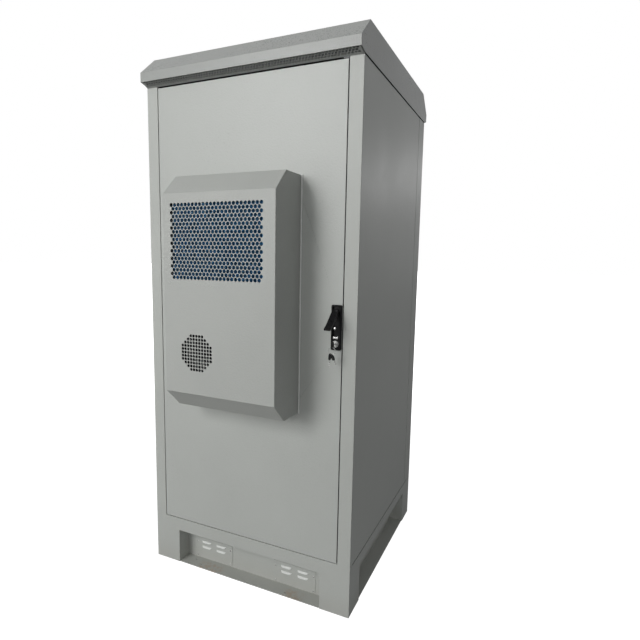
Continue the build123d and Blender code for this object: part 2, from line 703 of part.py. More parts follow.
def lock_plug():
    """Plug of the lock with its keyway."""
    plug = rod_y(HANDLE_X, LOCK_Z, PLUG_R, HANDLE_FACE - 3.5, FRONT + 5)
    keyway = rect(HANDLE_X - 1.1, HANDLE_X + 1.1, LOCK_Z - 4, LOCK_Z + 4)
    return plug - along_y(keyway, HANDLE_FACE - 4, FRONT - 2)


def lock_tongue():
    """Bright catch above the lock that holds the folded lever and drops as the key turns."""
    face = rect(HANDLE_X - TONGUE_HALF_W, HANDLE_X + TONGUE_HALF_W, LOCK_Z + 17, LOCK_Z + 24.8)
    return along_y(face, HANDLE_FACE - 1.5, FRONT - 4.6)


def key_grip(width, height, corner):
    """A key's grip with cut corners."""
    x, y = width / 2, height / 2
    return outline(
        [(-x + corner, -y), (x - corner, -y), (x, -y + corner), (x, y - corner), (x - corner, y),
         (-x + corner, y), (-x, y - corner), (-x, -y + corner)]
    )


def door_key():
    """Key in the lock: black grip on edge, blade in the keyway."""
    grip = Pos(-468, LOCK_Z) * key_grip(24, 22, 5)
    grip -= disc(KEY_HOLE_Y, KEY_HOLE_Z, 2.6)
    key = along_x(grip, HANDLE_X - 1.4, HANDLE_X + 1.4)
    blade = rect(-457, FRONT - 4, LOCK_Z - 3.6, LOCK_Z + 3.6)
    return key + along_x(blade, HANDLE_X - 1, HANDLE_X + 1)


def key_ring():
    """Flat wire ring that hangs from the key's grip."""
    face = RegularPolygon(RING_R + RING_WIRE, 24) - RegularPolygon(RING_R - RING_WIRE, 24)
    face = Pos(HANDLE_X, KEY_HOLE_Z - RING_R) * face
    return along_y(face, KEY_HOLE_Y - RING_WIRE, KEY_HOLE_Y + RING_WIRE)


def spare_key(along, lean, reach):
    """Loose key on the ring: its place along the ring and its lean in degrees, and its length below it."""
    grip = Pos(0, -9) * key_grip(20, 23, 5)
    grip -= Circle(2.8)
    key = along_x(grip, -1.3, 1.3)
    key += along_x(rect(-3.4, 3.4, -reach, -19), -1, 1)
    angle = radians(along)
    x = HANDLE_X + RING_R * sin(angle)
    z = KEY_HOLE_Z - RING_R - RING_R * cos(angle)
    return Pos(x, KEY_HOLE_Y, z) * (Rot(0, lean, 0) * key)


def cover_side(back):
    """Side view of the unit's cover in Y and Z, from its face back to a given Y."""
    low, high = AC_Z
    fold = FRONT - AC_FOLD_DEPTH
    half = [(back, low), (fold, low), (AC_FACE, low + AC_FOLD_HEIGHT)]
    face = outline(half + [(y, low + high - z) for y, z in reversed(half)])
    return fillet([corner for corner in face.vertices() if corner.X < FRONT - 1], FOLD_R)


def slot_between(start, end, turn, width):
    """A slot from one hole's centre to another's, one hole wide."""
    (xa, za), (xb, zb) = start, end
    length = sqrt((xb - xa) ** 2 + (zb - za) ** 2) + width
    return Pos((xa + xb) / 2, (za + zb) / 2) * (Rot(0, 0, turn) * Rectangle(length, width))


def field_slots():
    """Slots along one leaning direction of the staggered field; the other is its mirror image."""
    row = FIELD_PITCH * sin(radians(60))
    lines = {}
    for k in range(FIELD_ROWS):
        for i in range(FIELD_WIDE - k % 2):
            x = FIELD_X + FIELD_PITCH * (i + 0.5 * (k % 2))
            lines.setdefault(2 * i + k % 2 + k, []).append((x, FIELD_TOP_Z - row * k))
    return [slot_between(holes[0], holes[-1], 60, FIELD_SLOT) for holes in lines.values()]


def grid_slots(turn):
    """Slots along the rows or, turned by 90 degrees, the columns of the round field."""
    middle = (len(GRID_ROWS) - 1) / 2
    slots = []
    for k, count in enumerate(GRID_ROWS):
        reach = GRID_PITCH * (count - 1) / 2
        offset = GRID_PITCH * (k - middle)
        ends = [(GRID_X + s * reach, GRID_Z + offset) for s in (-1, 1)]
        if turn:
            ends = [(GRID_X + offset, GRID_Z + s * reach) for s in (-1, 1)]
        slots.append(slot_between(*ends, turn, GRID_HOLE))
    return slots


def field_window():
    """Rectangle that bounds the staggered field, as X and Z limits."""
    row = FIELD_PITCH * sin(radians(60))
    right = FIELD_X + FIELD_PITCH * (FIELD_WIDE - 1)
    low = FIELD_TOP_Z - row * (FIELD_ROWS - 1)
    return (FIELD_X - FIELD_EDGE, right + FIELD_EDGE, low - FIELD_EDGE, FIELD_TOP_Z + FIELD_EDGE)


def grid_window():
    """Square that bounds the round field, as X and Z limits."""
    reach = GRID_PITCH * len(GRID_ROWS) / 2
    return (GRID_X - reach, GRID_X + reach, GRID_Z - reach, GRID_Z + reach)


def ac_cover():
    """The folded cover of the unit.

    The webs of both fields are two slotted layers that cross, half a sheet each, with a hole where
    slots meet.
    """
    shell = along_x(cover_side(FRONT), -AC_X, AC_X)
    inner = offset(cover_side(FRONT + 10), -THIN, kind=Kind.INTERSECTION)
    shell -= along_x(inner, -AC_X + THIN, AC_X - THIN)
    window, square = rect(*field_window()), rect(*grid_window())
    shell -= along_y(window + square, AC_FACE - 1, AC_FACE + THIN + 1)
    flange = along_y(rect(AC_X - THIN, AC_X + 8, *AC_Z), FRONT - THIN, FRONT)
    shell += [flange, mirror(flange, Plane.YZ)]
    half = THIN / 2
    leaning = along_y(window - field_slots(), AC_FACE, AC_FACE + half)
    middle = (field_window()[0] + field_window()[1]) / 2
    across = Plane(origin=(middle, 0, 0), z_dir=(1, 0, 0))
    layers = [leaning, Pos(0, half, 0) * mirror(leaning, across)]
    layers += [along_y(square - grid_slots(0), AC_FACE, AC_FACE + half)]
    layers += [along_y(square - grid_slots(90), AC_FACE + half, AC_FACE + THIN)]
    return group([shell] + layers)


def ac_tray():
    """Tray of the unit: flange on the door, walls through the cut-out, grilled inner face."""
    gap = 1.0
    x, z0, z1 = CUTOUT_X - gap, CUTOUT_Z[0] + gap, CUTOUT_Z[1] - gap
    flange = rect(-x - 10, x + 10, z0 - 9, z1 + 9) - rect(-x, x, z0, z1)
    tray = along_y(flange, FRONT - SHEET, FRONT)
    walls = rect(-x, x, z0, z1) - rect(-x + THIN, x - THIN, z0 + THIN, z1 - THIN)
    tray += along_y(walls, FRONT - SHEET, TRAY_REAR)
    inner = rect(-x, x, z0, z1)
    inner -= [rect(-150, 150, 1300 + 24 * k, 1312 + 24 * k) for k in range(9)]
    inner -= [rect(-75, 75, 895 + 20 * k, 905 + 20 * k) for k in range(7)]
    return tray + along_y(inner, TRAY_REAR, TRAY_REAR + THIN)


def ac_partition():
    """Plate between the outdoor and the indoor air paths."""
    x, z0, z1 = CUTOUT_X + 9, CUTOUT_Z[0] - 8, CUTOUT_Z[1] + 8
    return along_y(rect(-x, x, z0, z1), PARTITION_Y, FRONT - SHEET)


def fin_block(x0, x1, y0, y1, z0, z1, fins):
    """Finned coil: a comb of fins on a solid core, between two end plates."""
    pitch = (x1 - x0) / fins
    core = y0 + 0.45 * (y1 - y0)
    points = [(x0, y1)]
    for k in range(fins):
        x = x0 + pitch * k
        points += [(x, y0), (x + 0.4 * pitch, y0), (x + 0.4 * pitch, core), (x + pitch, core)]
    points += [(x1, y1)]
    block = along_z(outline(points), z0, z1)
    plate = along_x(rect(y0, y1, z0 - 3, z1 + 3), x0 - 3, x0)
    return block + [plate, Pos(x1 - x0 + 3, 0, 0) * plate]


def condenser_coil():
    """Outdoor coil close behind the staggered field."""
    x0, x1, z0, z1 = field_window()
    return fin_block(x0 + 3, x1 - 3, AC_FACE + 8, AC_FACE + 32, z0, z1, COIL_FINS[0])


def unit_brackets():
    """Angles that hold the outdoor coil and the outdoor fan's frame to the partition."""
    x0, x1, z0, z1 = field_window()
    coil_y = AC_FACE + 12
    bars = [along_y(rect(a, a + THIN, z0 + 20, z1 - 20), coil_y, PARTITION_Y) for a in (x0 - THIN, x1)]
    x, z, _, y1 = OUT_FAN
    half = FAN_R + 8
    for low in (z - half, z + half - THIN):
        bars.append(along_y(rect(x - half, x + half, low, low + THIN), y1, PARTITION_Y))
    return group(bars)


def ac_base_pan():
    """Pan that carries the compressor, fixed along the partition."""
    section = outline(
        [(PARTITION_Y, AC_Z[0] + 3), (PARTITION_Y, AC_Z[0] + 30), (PARTITION_Y - THIN, AC_Z[0] + 30),
         (PARTITION_Y - THIN, AC_Z[0] + 3 + THIN), (FRONT - AC_FOLD_DEPTH, AC_Z[0] + 3 + THIN),
         (FRONT - AC_FOLD_DEPTH, AC_Z[0] + 3)]
    )
    return along_x(section, -AC_X + 8, AC_X - 8)


def evaporator_coil():
    """Indoor coil behind the upper grille."""
    return fin_block(-EVAPORATOR_X, EVAPORATOR_X, TRAY_REAR - 36, TRAY_REAR, *EVAPORATOR_Z, COIL_FINS[1])


def fan_rotor(x, z, y0, y1):
    """Axial fan rotor: a hub and seven cambered, pitched blades."""
    rotor = along_y(Pos(x, z) * RegularPolygon(FAN_HUB_R, 20), y0, y1)
    blade = outline([(-15, -8.5), (-2, -3), (14, 8.5), (12, 9), (-3, -0.8), (-15.5, -6.5)])
    blade = Pos(0, 0, FAN_HUB_R - 2) * extrude(blade, FAN_R - FAN_HUB_R)
    for k in range(FAN_BLADES):
        rotor += Pos(x, (y0 + y1) / 2, z) * (Rot(0, 360 * k / FAN_BLADES, 0) * blade)
    return rotor


def fan_frame(x, z, front, back, arm_y, motor_y):
    """Square frame round a fan, with its motor on three arms."""
    half = FAN_R + 8
    plate = rect(x - half, x + half, z - half, z + half) - facet_disc(x, z, FAN_R + 1.5, 24)
    frame = along_y(plate, front, back)
    frame += along_y(Pos(x, z) * RegularPolygon(FAN_HUB_R + 2, 20), *motor_y)
    for angle in (90, 210, 330):
        arm = Rot(0, 0, angle) * rect(FAN_HUB_R - 2, half - 3, -4, 4)
        frame += along_y(Pos(x, z) * arm, *arm_y)
    return frame


def condenser_fan():
    """Rotor behind the small field."""
    return fan_rotor(*OUT_FAN)


def condenser_fan_frame():
    """Frame and motor of the outdoor fan, behind its rotor."""
    x, z, y0, y1 = OUT_FAN
    return fan_frame(x, z, y0, y1, (y1, y1 + 5), (y1 + 1, y1 + 36))


def supply_fan():
    """Rotor behind the lower inner grille."""
    return fan_rotor(*IN_FAN)


def supply_fan_frame():
    """Frame and motor of the indoor fan, in front of its rotor."""
    x, z, y0, _ = IN_FAN
    return fan_frame(x, z, y0, TRAY_REAR, (y0 - 5, y0), (y0 - 36, y0 - 1))


def compressor():
    """Hermetic compressor: a domed can on a foot plate."""
    x, y, r, low, high = COMPRESSOR
    can = along_z(RegularPolygon(r, 24), low, high)
    can = chamfer(can.faces().sort_by(Axis.Z)[-1].edges(), 14)
    foot = along_z(Rectangle(120, 88), low - 4, low)
    return Pos(x, y, 0) * (can + foot)


def compressor_mounts():
    """Rubber feet between the compressor and the base pan."""
    x, y, _, low, _ = COMPRESSOR
    places = [(x + a, y + b) for a in (-50, 50) for b in (-35, 35)]
    pads = [Pos(a, b) * RegularPolygon(8, 8) for a, b in places]
    return group([along_z(pad, AC_Z[0] + 3 + THIN, low - 4) for pad in pads])


def control_box():
    """Control box of the unit on the partition's indoor side."""
    return along_y(rect(110, 190, 1080, 1230), FRONT - SHEET, -385)


def part_table():
    """Every node's name with its solid."""
    side_right = side_panel()
    plinth_right = plinth_side()
    return {
        "front_frame": front_frame(),
        "rear_frame": rear_frame(),
        "plinth_side_right": plinth_right,
        "plinth_side_left": mirror(plinth_right, Plane.YZ),
        "kick_panel_front": kick_panel_front(),
        "kick_panel_rear": kick_panel_rear(),
        "base_flange": base_flange(),
        "floor_plate": floor_plate(),
        "entry_plates": entry_plates(),
        "vent_covers": vent_covers(),
        "vent_screws": vent_screws(),
        "side_panel_right": side_right,
        "side_panel_left": mirror(side_right, Plane.YZ),
        "rear_panel": rear_panel(),
        "hexagon_screws": hexagon_screws(),
        "top_plate": top_plate(),
        "roof_hood": roof_hood(),
        "eave_strips": mirrored(eave_strip(), Plane.XZ),
        "roof_supports": roof_supports(),
        "rack_rails": rack_rails(),
        "rail_brackets": rail_brackets(),
        "ground_bar": ground_bar(),
        "ground_bar_posts": ground_bar_posts(),
        "hinge_brackets": group([hinge_bracket(z) for z in HINGE_Z]),
        "hinge_pins": group([hinge_pin(z) for z in HINGE_Z]),
        "rod_keepers": rod_keepers(),
        "door_panel": door_panel(),
        "door_gasket": door_gasket(),
        "door_stiffeners": door_stiffeners(),
        "hinge_leaves": group([hinge_leaf(z) for z in HINGE_Z]),
        "handle_base": handle_base(),
        "latch_case": latch_case(),
        "rod_guides": rod_guides(),
        "lock_barrel": lock_barrel(),
        "ac_cover": ac_cover(),
        "ac_tray": ac_tray(),
        "ac_partition": ac_partition(),
        "condenser_coil": condenser_coil(),
        "unit_brackets": unit_brackets(),
        "ac_base_pan": ac_base_pan(),
        "evaporator_coil": evaporator_coil(),
        "condenser_fan_frame": condenser_fan_frame(),
        "supply_fan_frame": supply_fan_frame(),
        "compressor": compressor(),
        "compressor_mounts": compressor_mounts(),
        "control_box": control_box(),
        "condenser_fan": condenser_fan(),
        "supply_fan": supply_fan(),
        "handle_hub": handle_hub(),
        "pinion": pinion(),
        "lever": lever(),
        "lever_pin": lever_pin(),
        "upper_rod": upper_rod(),
        "lower_rod": lower_rod(),
        "lock_plug": lock_plug(),
        "lock_tongue": lock_tongue(),
        "door_key": door_key(),
        "key_ring": key_ring(),
        "spare_key_left": spare_key(-30, 3, 46),
        "spare_key_right": spare_key(-4, -28, 38),
    }


os.makedirs("parts", exist_ok=True)
for name, shape in part_table().items():
    export_step(shape, f"parts/{name}.step")
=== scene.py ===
"""Roadside utility cabinet: finishes, fine forms, light and camera, in metres."""

import json
import logging
import math
from dataclasses import dataclass
from enum import Enum
from typing import Any, Iterable, Sequence

import bmesh
import bpy
from mathutils import Matrix, Vector


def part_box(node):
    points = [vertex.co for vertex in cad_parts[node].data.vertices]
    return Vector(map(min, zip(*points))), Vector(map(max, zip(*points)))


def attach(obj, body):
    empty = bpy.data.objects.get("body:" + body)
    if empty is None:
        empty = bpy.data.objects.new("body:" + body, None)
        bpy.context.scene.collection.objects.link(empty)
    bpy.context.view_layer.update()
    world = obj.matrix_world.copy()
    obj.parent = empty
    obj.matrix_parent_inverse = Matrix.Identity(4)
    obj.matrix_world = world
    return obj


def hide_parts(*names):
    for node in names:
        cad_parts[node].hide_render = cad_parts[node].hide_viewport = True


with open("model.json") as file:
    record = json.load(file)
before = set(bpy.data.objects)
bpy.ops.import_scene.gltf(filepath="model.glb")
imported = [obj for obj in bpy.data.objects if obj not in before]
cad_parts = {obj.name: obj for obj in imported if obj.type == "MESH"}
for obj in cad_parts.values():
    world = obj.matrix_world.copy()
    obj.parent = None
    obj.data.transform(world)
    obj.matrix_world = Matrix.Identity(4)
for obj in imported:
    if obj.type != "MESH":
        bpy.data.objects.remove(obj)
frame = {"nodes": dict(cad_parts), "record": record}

LOG = logging.getLogger("cabinet")
NODES = frame["nodes"]
SLOTS = {part["node"]: part["material_slot"] for part in frame["record"]["subparts"]}
BODIES = {node: body for body, nodes in frame["record"]["behaviour"]["bodies"].items() for node in nodes}
SMOOTH_ANGLE = math.radians(35)
FOLDED_ANGLE = math.radians(50)
EASED_ANGLE = math.radians(60)
FLAT_ANGLE = math.radians(0.6)
CAD_MERGE = 2e-6
SHEET_MERGE = 1e-6

Point = tuple[float, float, float]
Flat = tuple[float, float]
Colour = tuple[float, float, float]


class Body(Enum):
    """The rigid bodies that a piece can move with."""

    CABINET = "cabinet"
    DOOR = "door"
    OUTDOOR_FAN = "condenser_fan"
    INDOOR_FAN = "supply_fan"
    HANDLE = "handle"
    LEVER = "lever"
    UPPER_ROD = "upper_rod"
    LOWER_ROD = "lower_rod"
    KEY = "key"
    TONGUE = "lock_tongue"
    KEY_RING = "key_ring"
    LEFT_KEY = "spare_key_left"
    RIGHT_KEY = "spare_key_right"


class Signal:
    """A node's output, which Python's operators turn into Math nodes."""

    def __init__(self, graph: "Graph", socket: bpy.types.NodeSocket) -> None:
        """Wraps one output socket of a graph."""
        self.graph = graph
        self.socket = socket

    def __add__(self, other: Any) -> "Signal":
        """Sum."""
        return self.graph.math("ADD", self, other)

    __radd__ = __add__

    def __sub__(self, other: Any) -> "Signal":
        """Difference."""
        return self.graph.math("SUBTRACT", self, other)

    def __rsub__(self, other: Any) -> "Signal":
        """Difference, with this value taken away."""
        return self.graph.math("SUBTRACT", other, self)

    def __mul__(self, other: Any) -> "Signal":
        """Product."""
        return self.graph.math("MULTIPLY", self, other)

    __rmul__ = __mul__

    def __truediv__(self, other: Any) -> "Signal":
        """Quotient."""
        return self.graph.math("DIVIDE", self, other)

    def __mod__(self, other: Any) -> "Signal":
        """Remainder."""
        return self.graph.math("MODULO", self, other)

    def __gt__(self, other: Any) -> "Signal":
        """1 where this value is the larger one."""
        return self.graph.math("GREATER_THAN", self, other)

    def __lt__(self, other: Any) -> "Signal":
        """1 where this value is the smaller one."""
        return self.graph.math("LESS_THAN", self, other)

    def floor(self) -> "Signal":
        """The whole number below this value."""
        return self.graph.math("FLOOR", self, 0.0)

    def band(self, low: float, high: float) -> "Signal":
        """A smooth step from 0 at low to 1 at high.

        Args:
            low: value that gives 0.
            high: value that gives 1; it may be the lower number.

        Returns:
            The stepped value.
        """
        limits = {"Value": self, "From Min": low, "From Max": high}
        return self.graph.node("ShaderNodeMapRange", {"interpolation_type": "SMOOTHSTEP"}, limits)


class Graph:
    """A node tree that is built from Python expressions."""

    def __init__(self, tree: bpy.types.NodeTree) -> None:
        """Starts on an empty tree."""
        self.tree = tree

    def node(
        self,
        kind: str,
        settings: dict[str, Any] | None = None,
        sockets: dict[str | int, Any] | None = None,
        output: str | int = 0,
    ) -> Signal:
        """Adds one node.

        Args:
            kind: the node's type.
            settings: the node's own settings, set before its sockets.
            sockets: values or signals of its inputs, by name, identifier or number.
            output: the output that is returned.

        Returns:
            The chosen output.
        """
        made = self.tree.nodes.new(kind)
        for key, value in (settings or {}).items():
            setattr(made, key, value)
        for key, value in (sockets or {}).items():
            self._feed(self._find(made.inputs, key), value)
        return Signal(self, self._find(made.outputs, output)) if len(made.outputs) else None

    def _find(self, sockets: Any, key: str | int) -> bpy.types.NodeSocket:
        """A socket by number, identifier or name."""
        if isinstance(key, int):
            return sockets[key]
        for socket in sockets:
            if socket.identifier == key:
                return socket
        return next(socket for socket in sockets if socket.name == key and socket.enabled)

    def _feed(self, socket: bpy.types.NodeSocket, value: Any) -> None:
        """Links a signal, or sets a plain value."""
        if isinstance(value, Signal):
            self.tree.links.new(value.socket, socket)
        elif isinstance(value, (list, tuple)) and value and isinstance(value[0], Signal):
            for one in value:
                self.tree.links.new(one.socket, socket)
        elif socket.type == "RGBA" and not isinstance(value, bpy.types.ID) and len(value) == 3:
            socket.default_value = (*value, 1.0)
        else:
            socket.default_value = value

    def math(self, operation: str, first: Any, second: Any) -> Signal:
        """One Math node."""
        return self.node("ShaderNodeMath", {"operation": operation}, {0: first, 1: second})

    def seen(self, gloss: float) -> Signal:
        """1 for camera and transmission rays, and a share for glossy rays."""
        seen = self.node("ShaderNodeLightPath", output="Is Camera Ray")
        seen = self.math("MAXIMUM", seen, self.node("ShaderNodeLightPath", output="Is Transmission Ray"))
        glossy = self.node("ShaderNodeLightPath", output="Is Glossy Ray")
        return self.math("MAXIMUM", seen, glossy * gloss)


class Shader(Graph):
    """One procedural material that reads Object coordinates."""

    def __init__(self, name: str) -> None:
        """Starts an empty material."""
        self.material = bpy.data.materials.new(name)
        self.material.use_nodes = True
        self.material.node_tree.nodes.clear()
        super().__init__(self.material.node_tree)
        self.place = self.node("ShaderNodeTexCoord", output="Object")

    def axis(self, name: str) -> Signal:
        """The X, Y or Z place on the surface."""
        return self.node("ShaderNodeSeparateXYZ", sockets={0: self.place}, output=name)

    def stretched(self, scale: Point) -> Signal:
        """The place with each axis scaled, for grain that runs one way."""
        return self.node("ShaderNodeMapping", sockets={"Vector": self.place, "Scale": scale})

    def noise(
        self, size: float, detail: float = 2.0, rough: float = 0.5, at: Signal | None = None
    ) -> Signal:
        """Cloudy noise.

        Args:
            size: width of one cloud in metres.
            detail: number of finer layers.
            rough: weight of the finer layers.
            at: the place to read it, instead of the plain one.

        Returns:
            A value of about 0.3 to 0.7.
        """
        sockets = {"Vector": at or self.place, "Scale": 1 / size, "Detail": detail, "Roughness": rough}
        return self.node("ShaderNodeTexNoise", {}, sockets)

    def cells(self, size: float, output: str = "Distance") -> Signal:
        """Voronoi cells of a given width in metres."""
        return self.node("ShaderNodeTexVoronoi", {}, {"Vector": self.place, "Scale": 1 / size}, output)

    def mix(self, factor: Any, first: Any, second: Any) -> Signal:
        """A colour between two colours."""
        sockets = {"Factor_Float": factor, "A_Color": first, "B_Color": second}
        settings = {"data_type": "RGBA", "clamp_factor": True}
        return self.node("ShaderNodeMix", settings, sockets, "Result_Color")

    def bump(self, height: Signal, depth: float, under: Signal | None = None) -> Signal:
        """A bumped normal.

        Args:
            height: relief from 0 to 1.
            depth: metres that 1 stands for.
            under: a normal to start from.

        Returns:
            The normal.
        """
        sockets = {"Strength": 1.0, "Distance": depth, "Height": height}
        if under is not None:
            sockets["Normal"] = under
        return self.node("ShaderNodeBump", {}, sockets)

    def surface(self, **sockets: Any) -> bpy.types.Material:
        """Ends the material with a Principled shader.

        Args:
            sockets: the shader's inputs, with underscores for spaces.

        Returns:
            The finished material.
        """
        named = {key.replace("_", " "): value for key, value in sockets.items()}
        shader = self.node("ShaderNodeBsdfPrincipled", {}, named)
        self.node("ShaderNodeOutputMaterial", {}, {"Surface": shader})
        return self.material


class Pattern(Graph):
    """A Geometry Nodes tree with named sizes, which is run once into a plain mesh."""

    def __init__(self, name: str, sizes: dict[str, float | int]) -> None:
        """Starts a tree.

        Args:
            name: the tree's name.
            sizes: its inputs; whole numbers make counts, the others lengths.
        """
        self.sizes = sizes
        self.group = bpy.data.node_groups.new(name, "GeometryNodeTree")
        super().__init__(self.group)
        plan = self.group.interface
        plan.new_socket("Geometry", in_out="INPUT", socket_type="NodeSocketGeometry")
        plan.new_socket("Geometry", in_out="OUTPUT", socket_type="NodeSocketGeometry")
        self.keys = {}
        for label, value in sizes.items():
            kind = "NodeSocketInt" if isinstance(value, int) else "NodeSocketFloat"
            kind = "NodeSocketObject" if isinstance(value, bpy.types.Object) else kind
            self.keys[label] = plan.new_socket(label, in_out="INPUT", socket_type=kind).identifier
        self.entry = self.tree.nodes.new("NodeGroupInput")

    def size(self, label: str) -> Signal:
        """One of the named sizes."""
        return Signal(self, self._find(self.entry.outputs, self.keys[label]))

    def given(self) -> Signal:
        """The geometry that the tree is put on."""
        return Signal(self, self.entry.outputs[0])

    def vector(self, x: Any = 0.0, y: Any = 0.0, z: Any = 0.0) -> Signal:
        """A vector from three values."""
        return self.node("ShaderNodeCombineXYZ", sockets={"X": x, "Y": y, "Z": z})

    def moved(self, geometry: Signal, by: Any) -> Signal:
        """Geometry moved by a vector."""
        sockets = {"Geometry": geometry, "Translation": by}
        return self.node("GeometryNodeTransform", sockets=sockets)

    def joined(self, parts: Sequence[Signal]) -> Signal:
        """Several geometries in one."""
        return self.node("GeometryNodeJoinGeometry", sockets={0: list(parts)})

    def grid(self, columns: Any, rows: Any, width: Any, height: Any) -> Signal:
        """A grid of points in the XY plane, numbered up each column."""
        sockets = {"Size X": width, "Size Y": height, "Vertices X": columns, "Vertices Y": rows}
        return self.node("GeometryNodeMeshGrid", sockets=sockets)

    def scattered(
        self, points: Signal, shape: Signal, chosen: Signal | None = None, turn: Signal | None = None
    ) -> Signal:
        """A shape at each point.

        Args:
            points: geometry with the points.
            shape: what is put there.
            chosen: 1 at the points that get one, or nothing for all.
            turn: the shape's Euler turn at each point.

        Returns:
            The shapes as instances.
        """
        sockets = {"Points": points, "Instance": shape}
        if chosen is not None:
            sockets["Selection"] = chosen
        if turn is not None:
            sockets["Rotation"] = turn
        return self.node("GeometryNodeInstanceOnPoints", sockets=sockets)

    def shape(self, label: str) -> Signal:
        """The geometry of an object input."""
        sockets = {"Object": self.size(label), "As Instance": True}
        return self.node("GeometryNodeObjectInfo", sockets=sockets, output="Geometry")

    def quad(self, width: Any, height: Any) -> Signal:
        """A rectangle's edge round the origin."""
        return self.node("GeometryNodeCurvePrimitiveQuadrilateral", {}, {0: width, 1: height})

    def circle(self, radius: Any, sides: Any) -> Signal:
        """A circle's edge round the origin."""
        sockets = {"Resolution": sides, "Radius": radius}
        return self.node("GeometryNodeCurvePrimitiveCircle", sockets=sockets)

    def heap(self, count: Any) -> Signal:
        """A number of points that all lie at the origin."""
        sockets = {"Count": count, "Offset": (0.0, 0.0, 0.0)}
        return self.node("GeometryNodeMeshLine", {}, sockets)

    def between(self, count: Any, start: Signal, end: Signal) -> Signal:
        """Evenly spaced points from one place to another."""
        sockets = {"Count": count, "Start Location": start, "Offset": end}
        return self.node("GeometryNodeMeshLine", {"mode": "END_POINTS"}, sockets)

    def staggered(
        self, columns: Signal, rows: Signal, pitch: Signal, row: Signal, shape: Signal
    ) -> Signal:
        """Rows of a shape round the origin; every other row is one shorter and half a pitch along.

        Args:
            columns: shapes in the longer rows.
            rows: number of rows.
            pitch: distance along a row.
            row: distance between rows.
            shape: what is put there.

        Returns:
            The shapes as instances.
        """
        grid = self.grid(columns, rows, pitch * (columns - 1), row * (rows - 1))
        number = self.node("GeometryNodeInputIndex")
        odd = (rows - 1 - number % rows) % 2.0
        last = (number / rows).floor() > columns - 1.5
        sockets = {"Geometry": grid, "Offset": self.vector(odd * pitch * 0.5)}
        shifted = self.node("GeometryNodeSetPosition", {}, sockets)
        return self.scattered(shifted, shape, 1 - odd * last)

    def sheet(self, border: Signal, holes: Sequence[Signal], thickness: Any) -> Signal:
        """A flat sheet with holes, as a closed solid.

        Args:
            border: closed curve round the sheet in the XY plane.
            holes: closed curves or instances of them inside it.
            thickness: height of the sheet, up from the XY plane.

        Returns:
            The sheet's mesh.
        """
        loose = [self.node("GeometryNodeRealizeInstances", sockets={0: hole}) for hole in holes]
        face = self.node("GeometryNodeFillCurve", sockets={"Curve": self.joined([border, *loose])})
        raised = self.node(
            "GeometryNodeExtrudeMesh", {}, {"Mesh": face, "Offset Scale": thickness, "Individual": False}
        )
        under = self.node("GeometryNodeFlipFaces", sockets={0: face})
        sockets = {0: self.joined([raised, under]), "Distance": SHEET_MERGE}
        return self.node("GeometryNodeMergeByDistance", sockets=sockets)

    def run(
        self, result: Signal, material: bpy.types.Material, base: bpy.types.Mesh | None = None
    ) -> bpy.types.Mesh:
        """Runs the tree once.

        Args:
            result: the geometry that leaves the tree.
            material: the finish that is set on it.
            base: a mesh that the tree works on, if it takes one.

        Returns:
            A plain mesh.
        """
        solid = self.node("GeometryNodeRealizeInstances", sockets={0: result})
        dressed = self.node("GeometryNodeSetMaterial", sockets={"Geometry": solid, "Material": material})
        end = self.tree.nodes.new("NodeGroupOutput")
        self.tree.links.new(dressed.socket, end.inputs[0])
        holder = holder_of(base or bpy.data.meshes.new("empty"))
        modifier = holder.modifiers.new("pattern", "NODES")
        modifier.node_group = self.group
        for label, value in self.sizes.items():
            modifier[self.keys[label]] = value
        made = baked(holder)
        for value in self.sizes.values():
            if isinstance(value, bpy.types.Object):
                bpy.data.objects.remove(value)
        return made


def tint(colour: Colour, share: float) -> Colour:
    """A colour made lighter or darker by a share."""
    return tuple(min(1.0, channel * share) for channel in colour)


@dataclass(frozen=True)
class PowderCoat:
    """Textured powder coat on sheet metal, with the faint clouding that it has on large panels."""

    name: str
    colour: Colour
    roughness: float = 0.40
    dimple: float = 0.0054
    depth: float = 0.0008
    speck: float = 0.0016
    cloud: float = 0.34
    wave: float = 0.22
    wave_depth: float = 0.0026
    scuffs: tuple[Flat, ...] = ()
    scuff_z: Flat = (0.012, 0.004)
    scuff_y: Flat = (-0.376, -0.396)
    dust_top: float = 0.10

    def material(self) -> bpy.types.Material:
        """The finished material."""
        shader = Shader(self.name)
        dimples = shader.noise(self.dimple, 2.5, 0.6)
        speck = shader.noise(self.speck, 1.0)
        cloud = shader.noise(self.cloud, 3.0)
        waves = shader.noise(self.wave, 1.0)
        tone = (cloud - 0.5) * 0.55 + (speck - 0.5) * 0.20 + (dimples - 0.5) * 0.22 + 0.5
        colour = shader.mix(tone, tint(self.colour, 0.88), tint(self.colour, 1.12))
        if self.scuffs:
            colour = self._scuffed(shader, colour)
        normal = shader.bump(waves, self.wave_depth)
        normal = shader.bump(dimples, self.depth, normal)
        rough = (dimples - 0.5) * 0.25 + (cloud - 0.5) * 0.16 + self.roughness
        return shader.surface(
            Base_Color=colour, Roughness=rough, Normal=normal, Coat_Weight=0.0, Specular_IOR_Level=0.36
        )

    def _scuffed(self, shader: Shader, colour: Signal) -> Signal:
        """Dust near the ground, and tan scuffs on the ledge, each at an X place with a half length."""
        low = shader.axis("Z").band(*self.scuff_z)
        dust = shader.axis("Z").band(self.dust_top, 0.0) * 0.22
        colour = shader.mix(dust, colour, (0.36, 0.34, 0.30))
        patches = shader.noise(0.016, 4.0, 0.65).band(0.40, 0.60)
        for place, half in self.scuffs:
            away = shader.math("ABSOLUTE", shader.axis("X") - place, 0.0)
            front = shader.axis("Y").band(*self.scuff_y)
            shown = away.band(half, half * 0.5) * patches * low * front * 0.9
            colour = shader.mix(shown, colour, (0.43, 0.36, 0.29))
        return colour


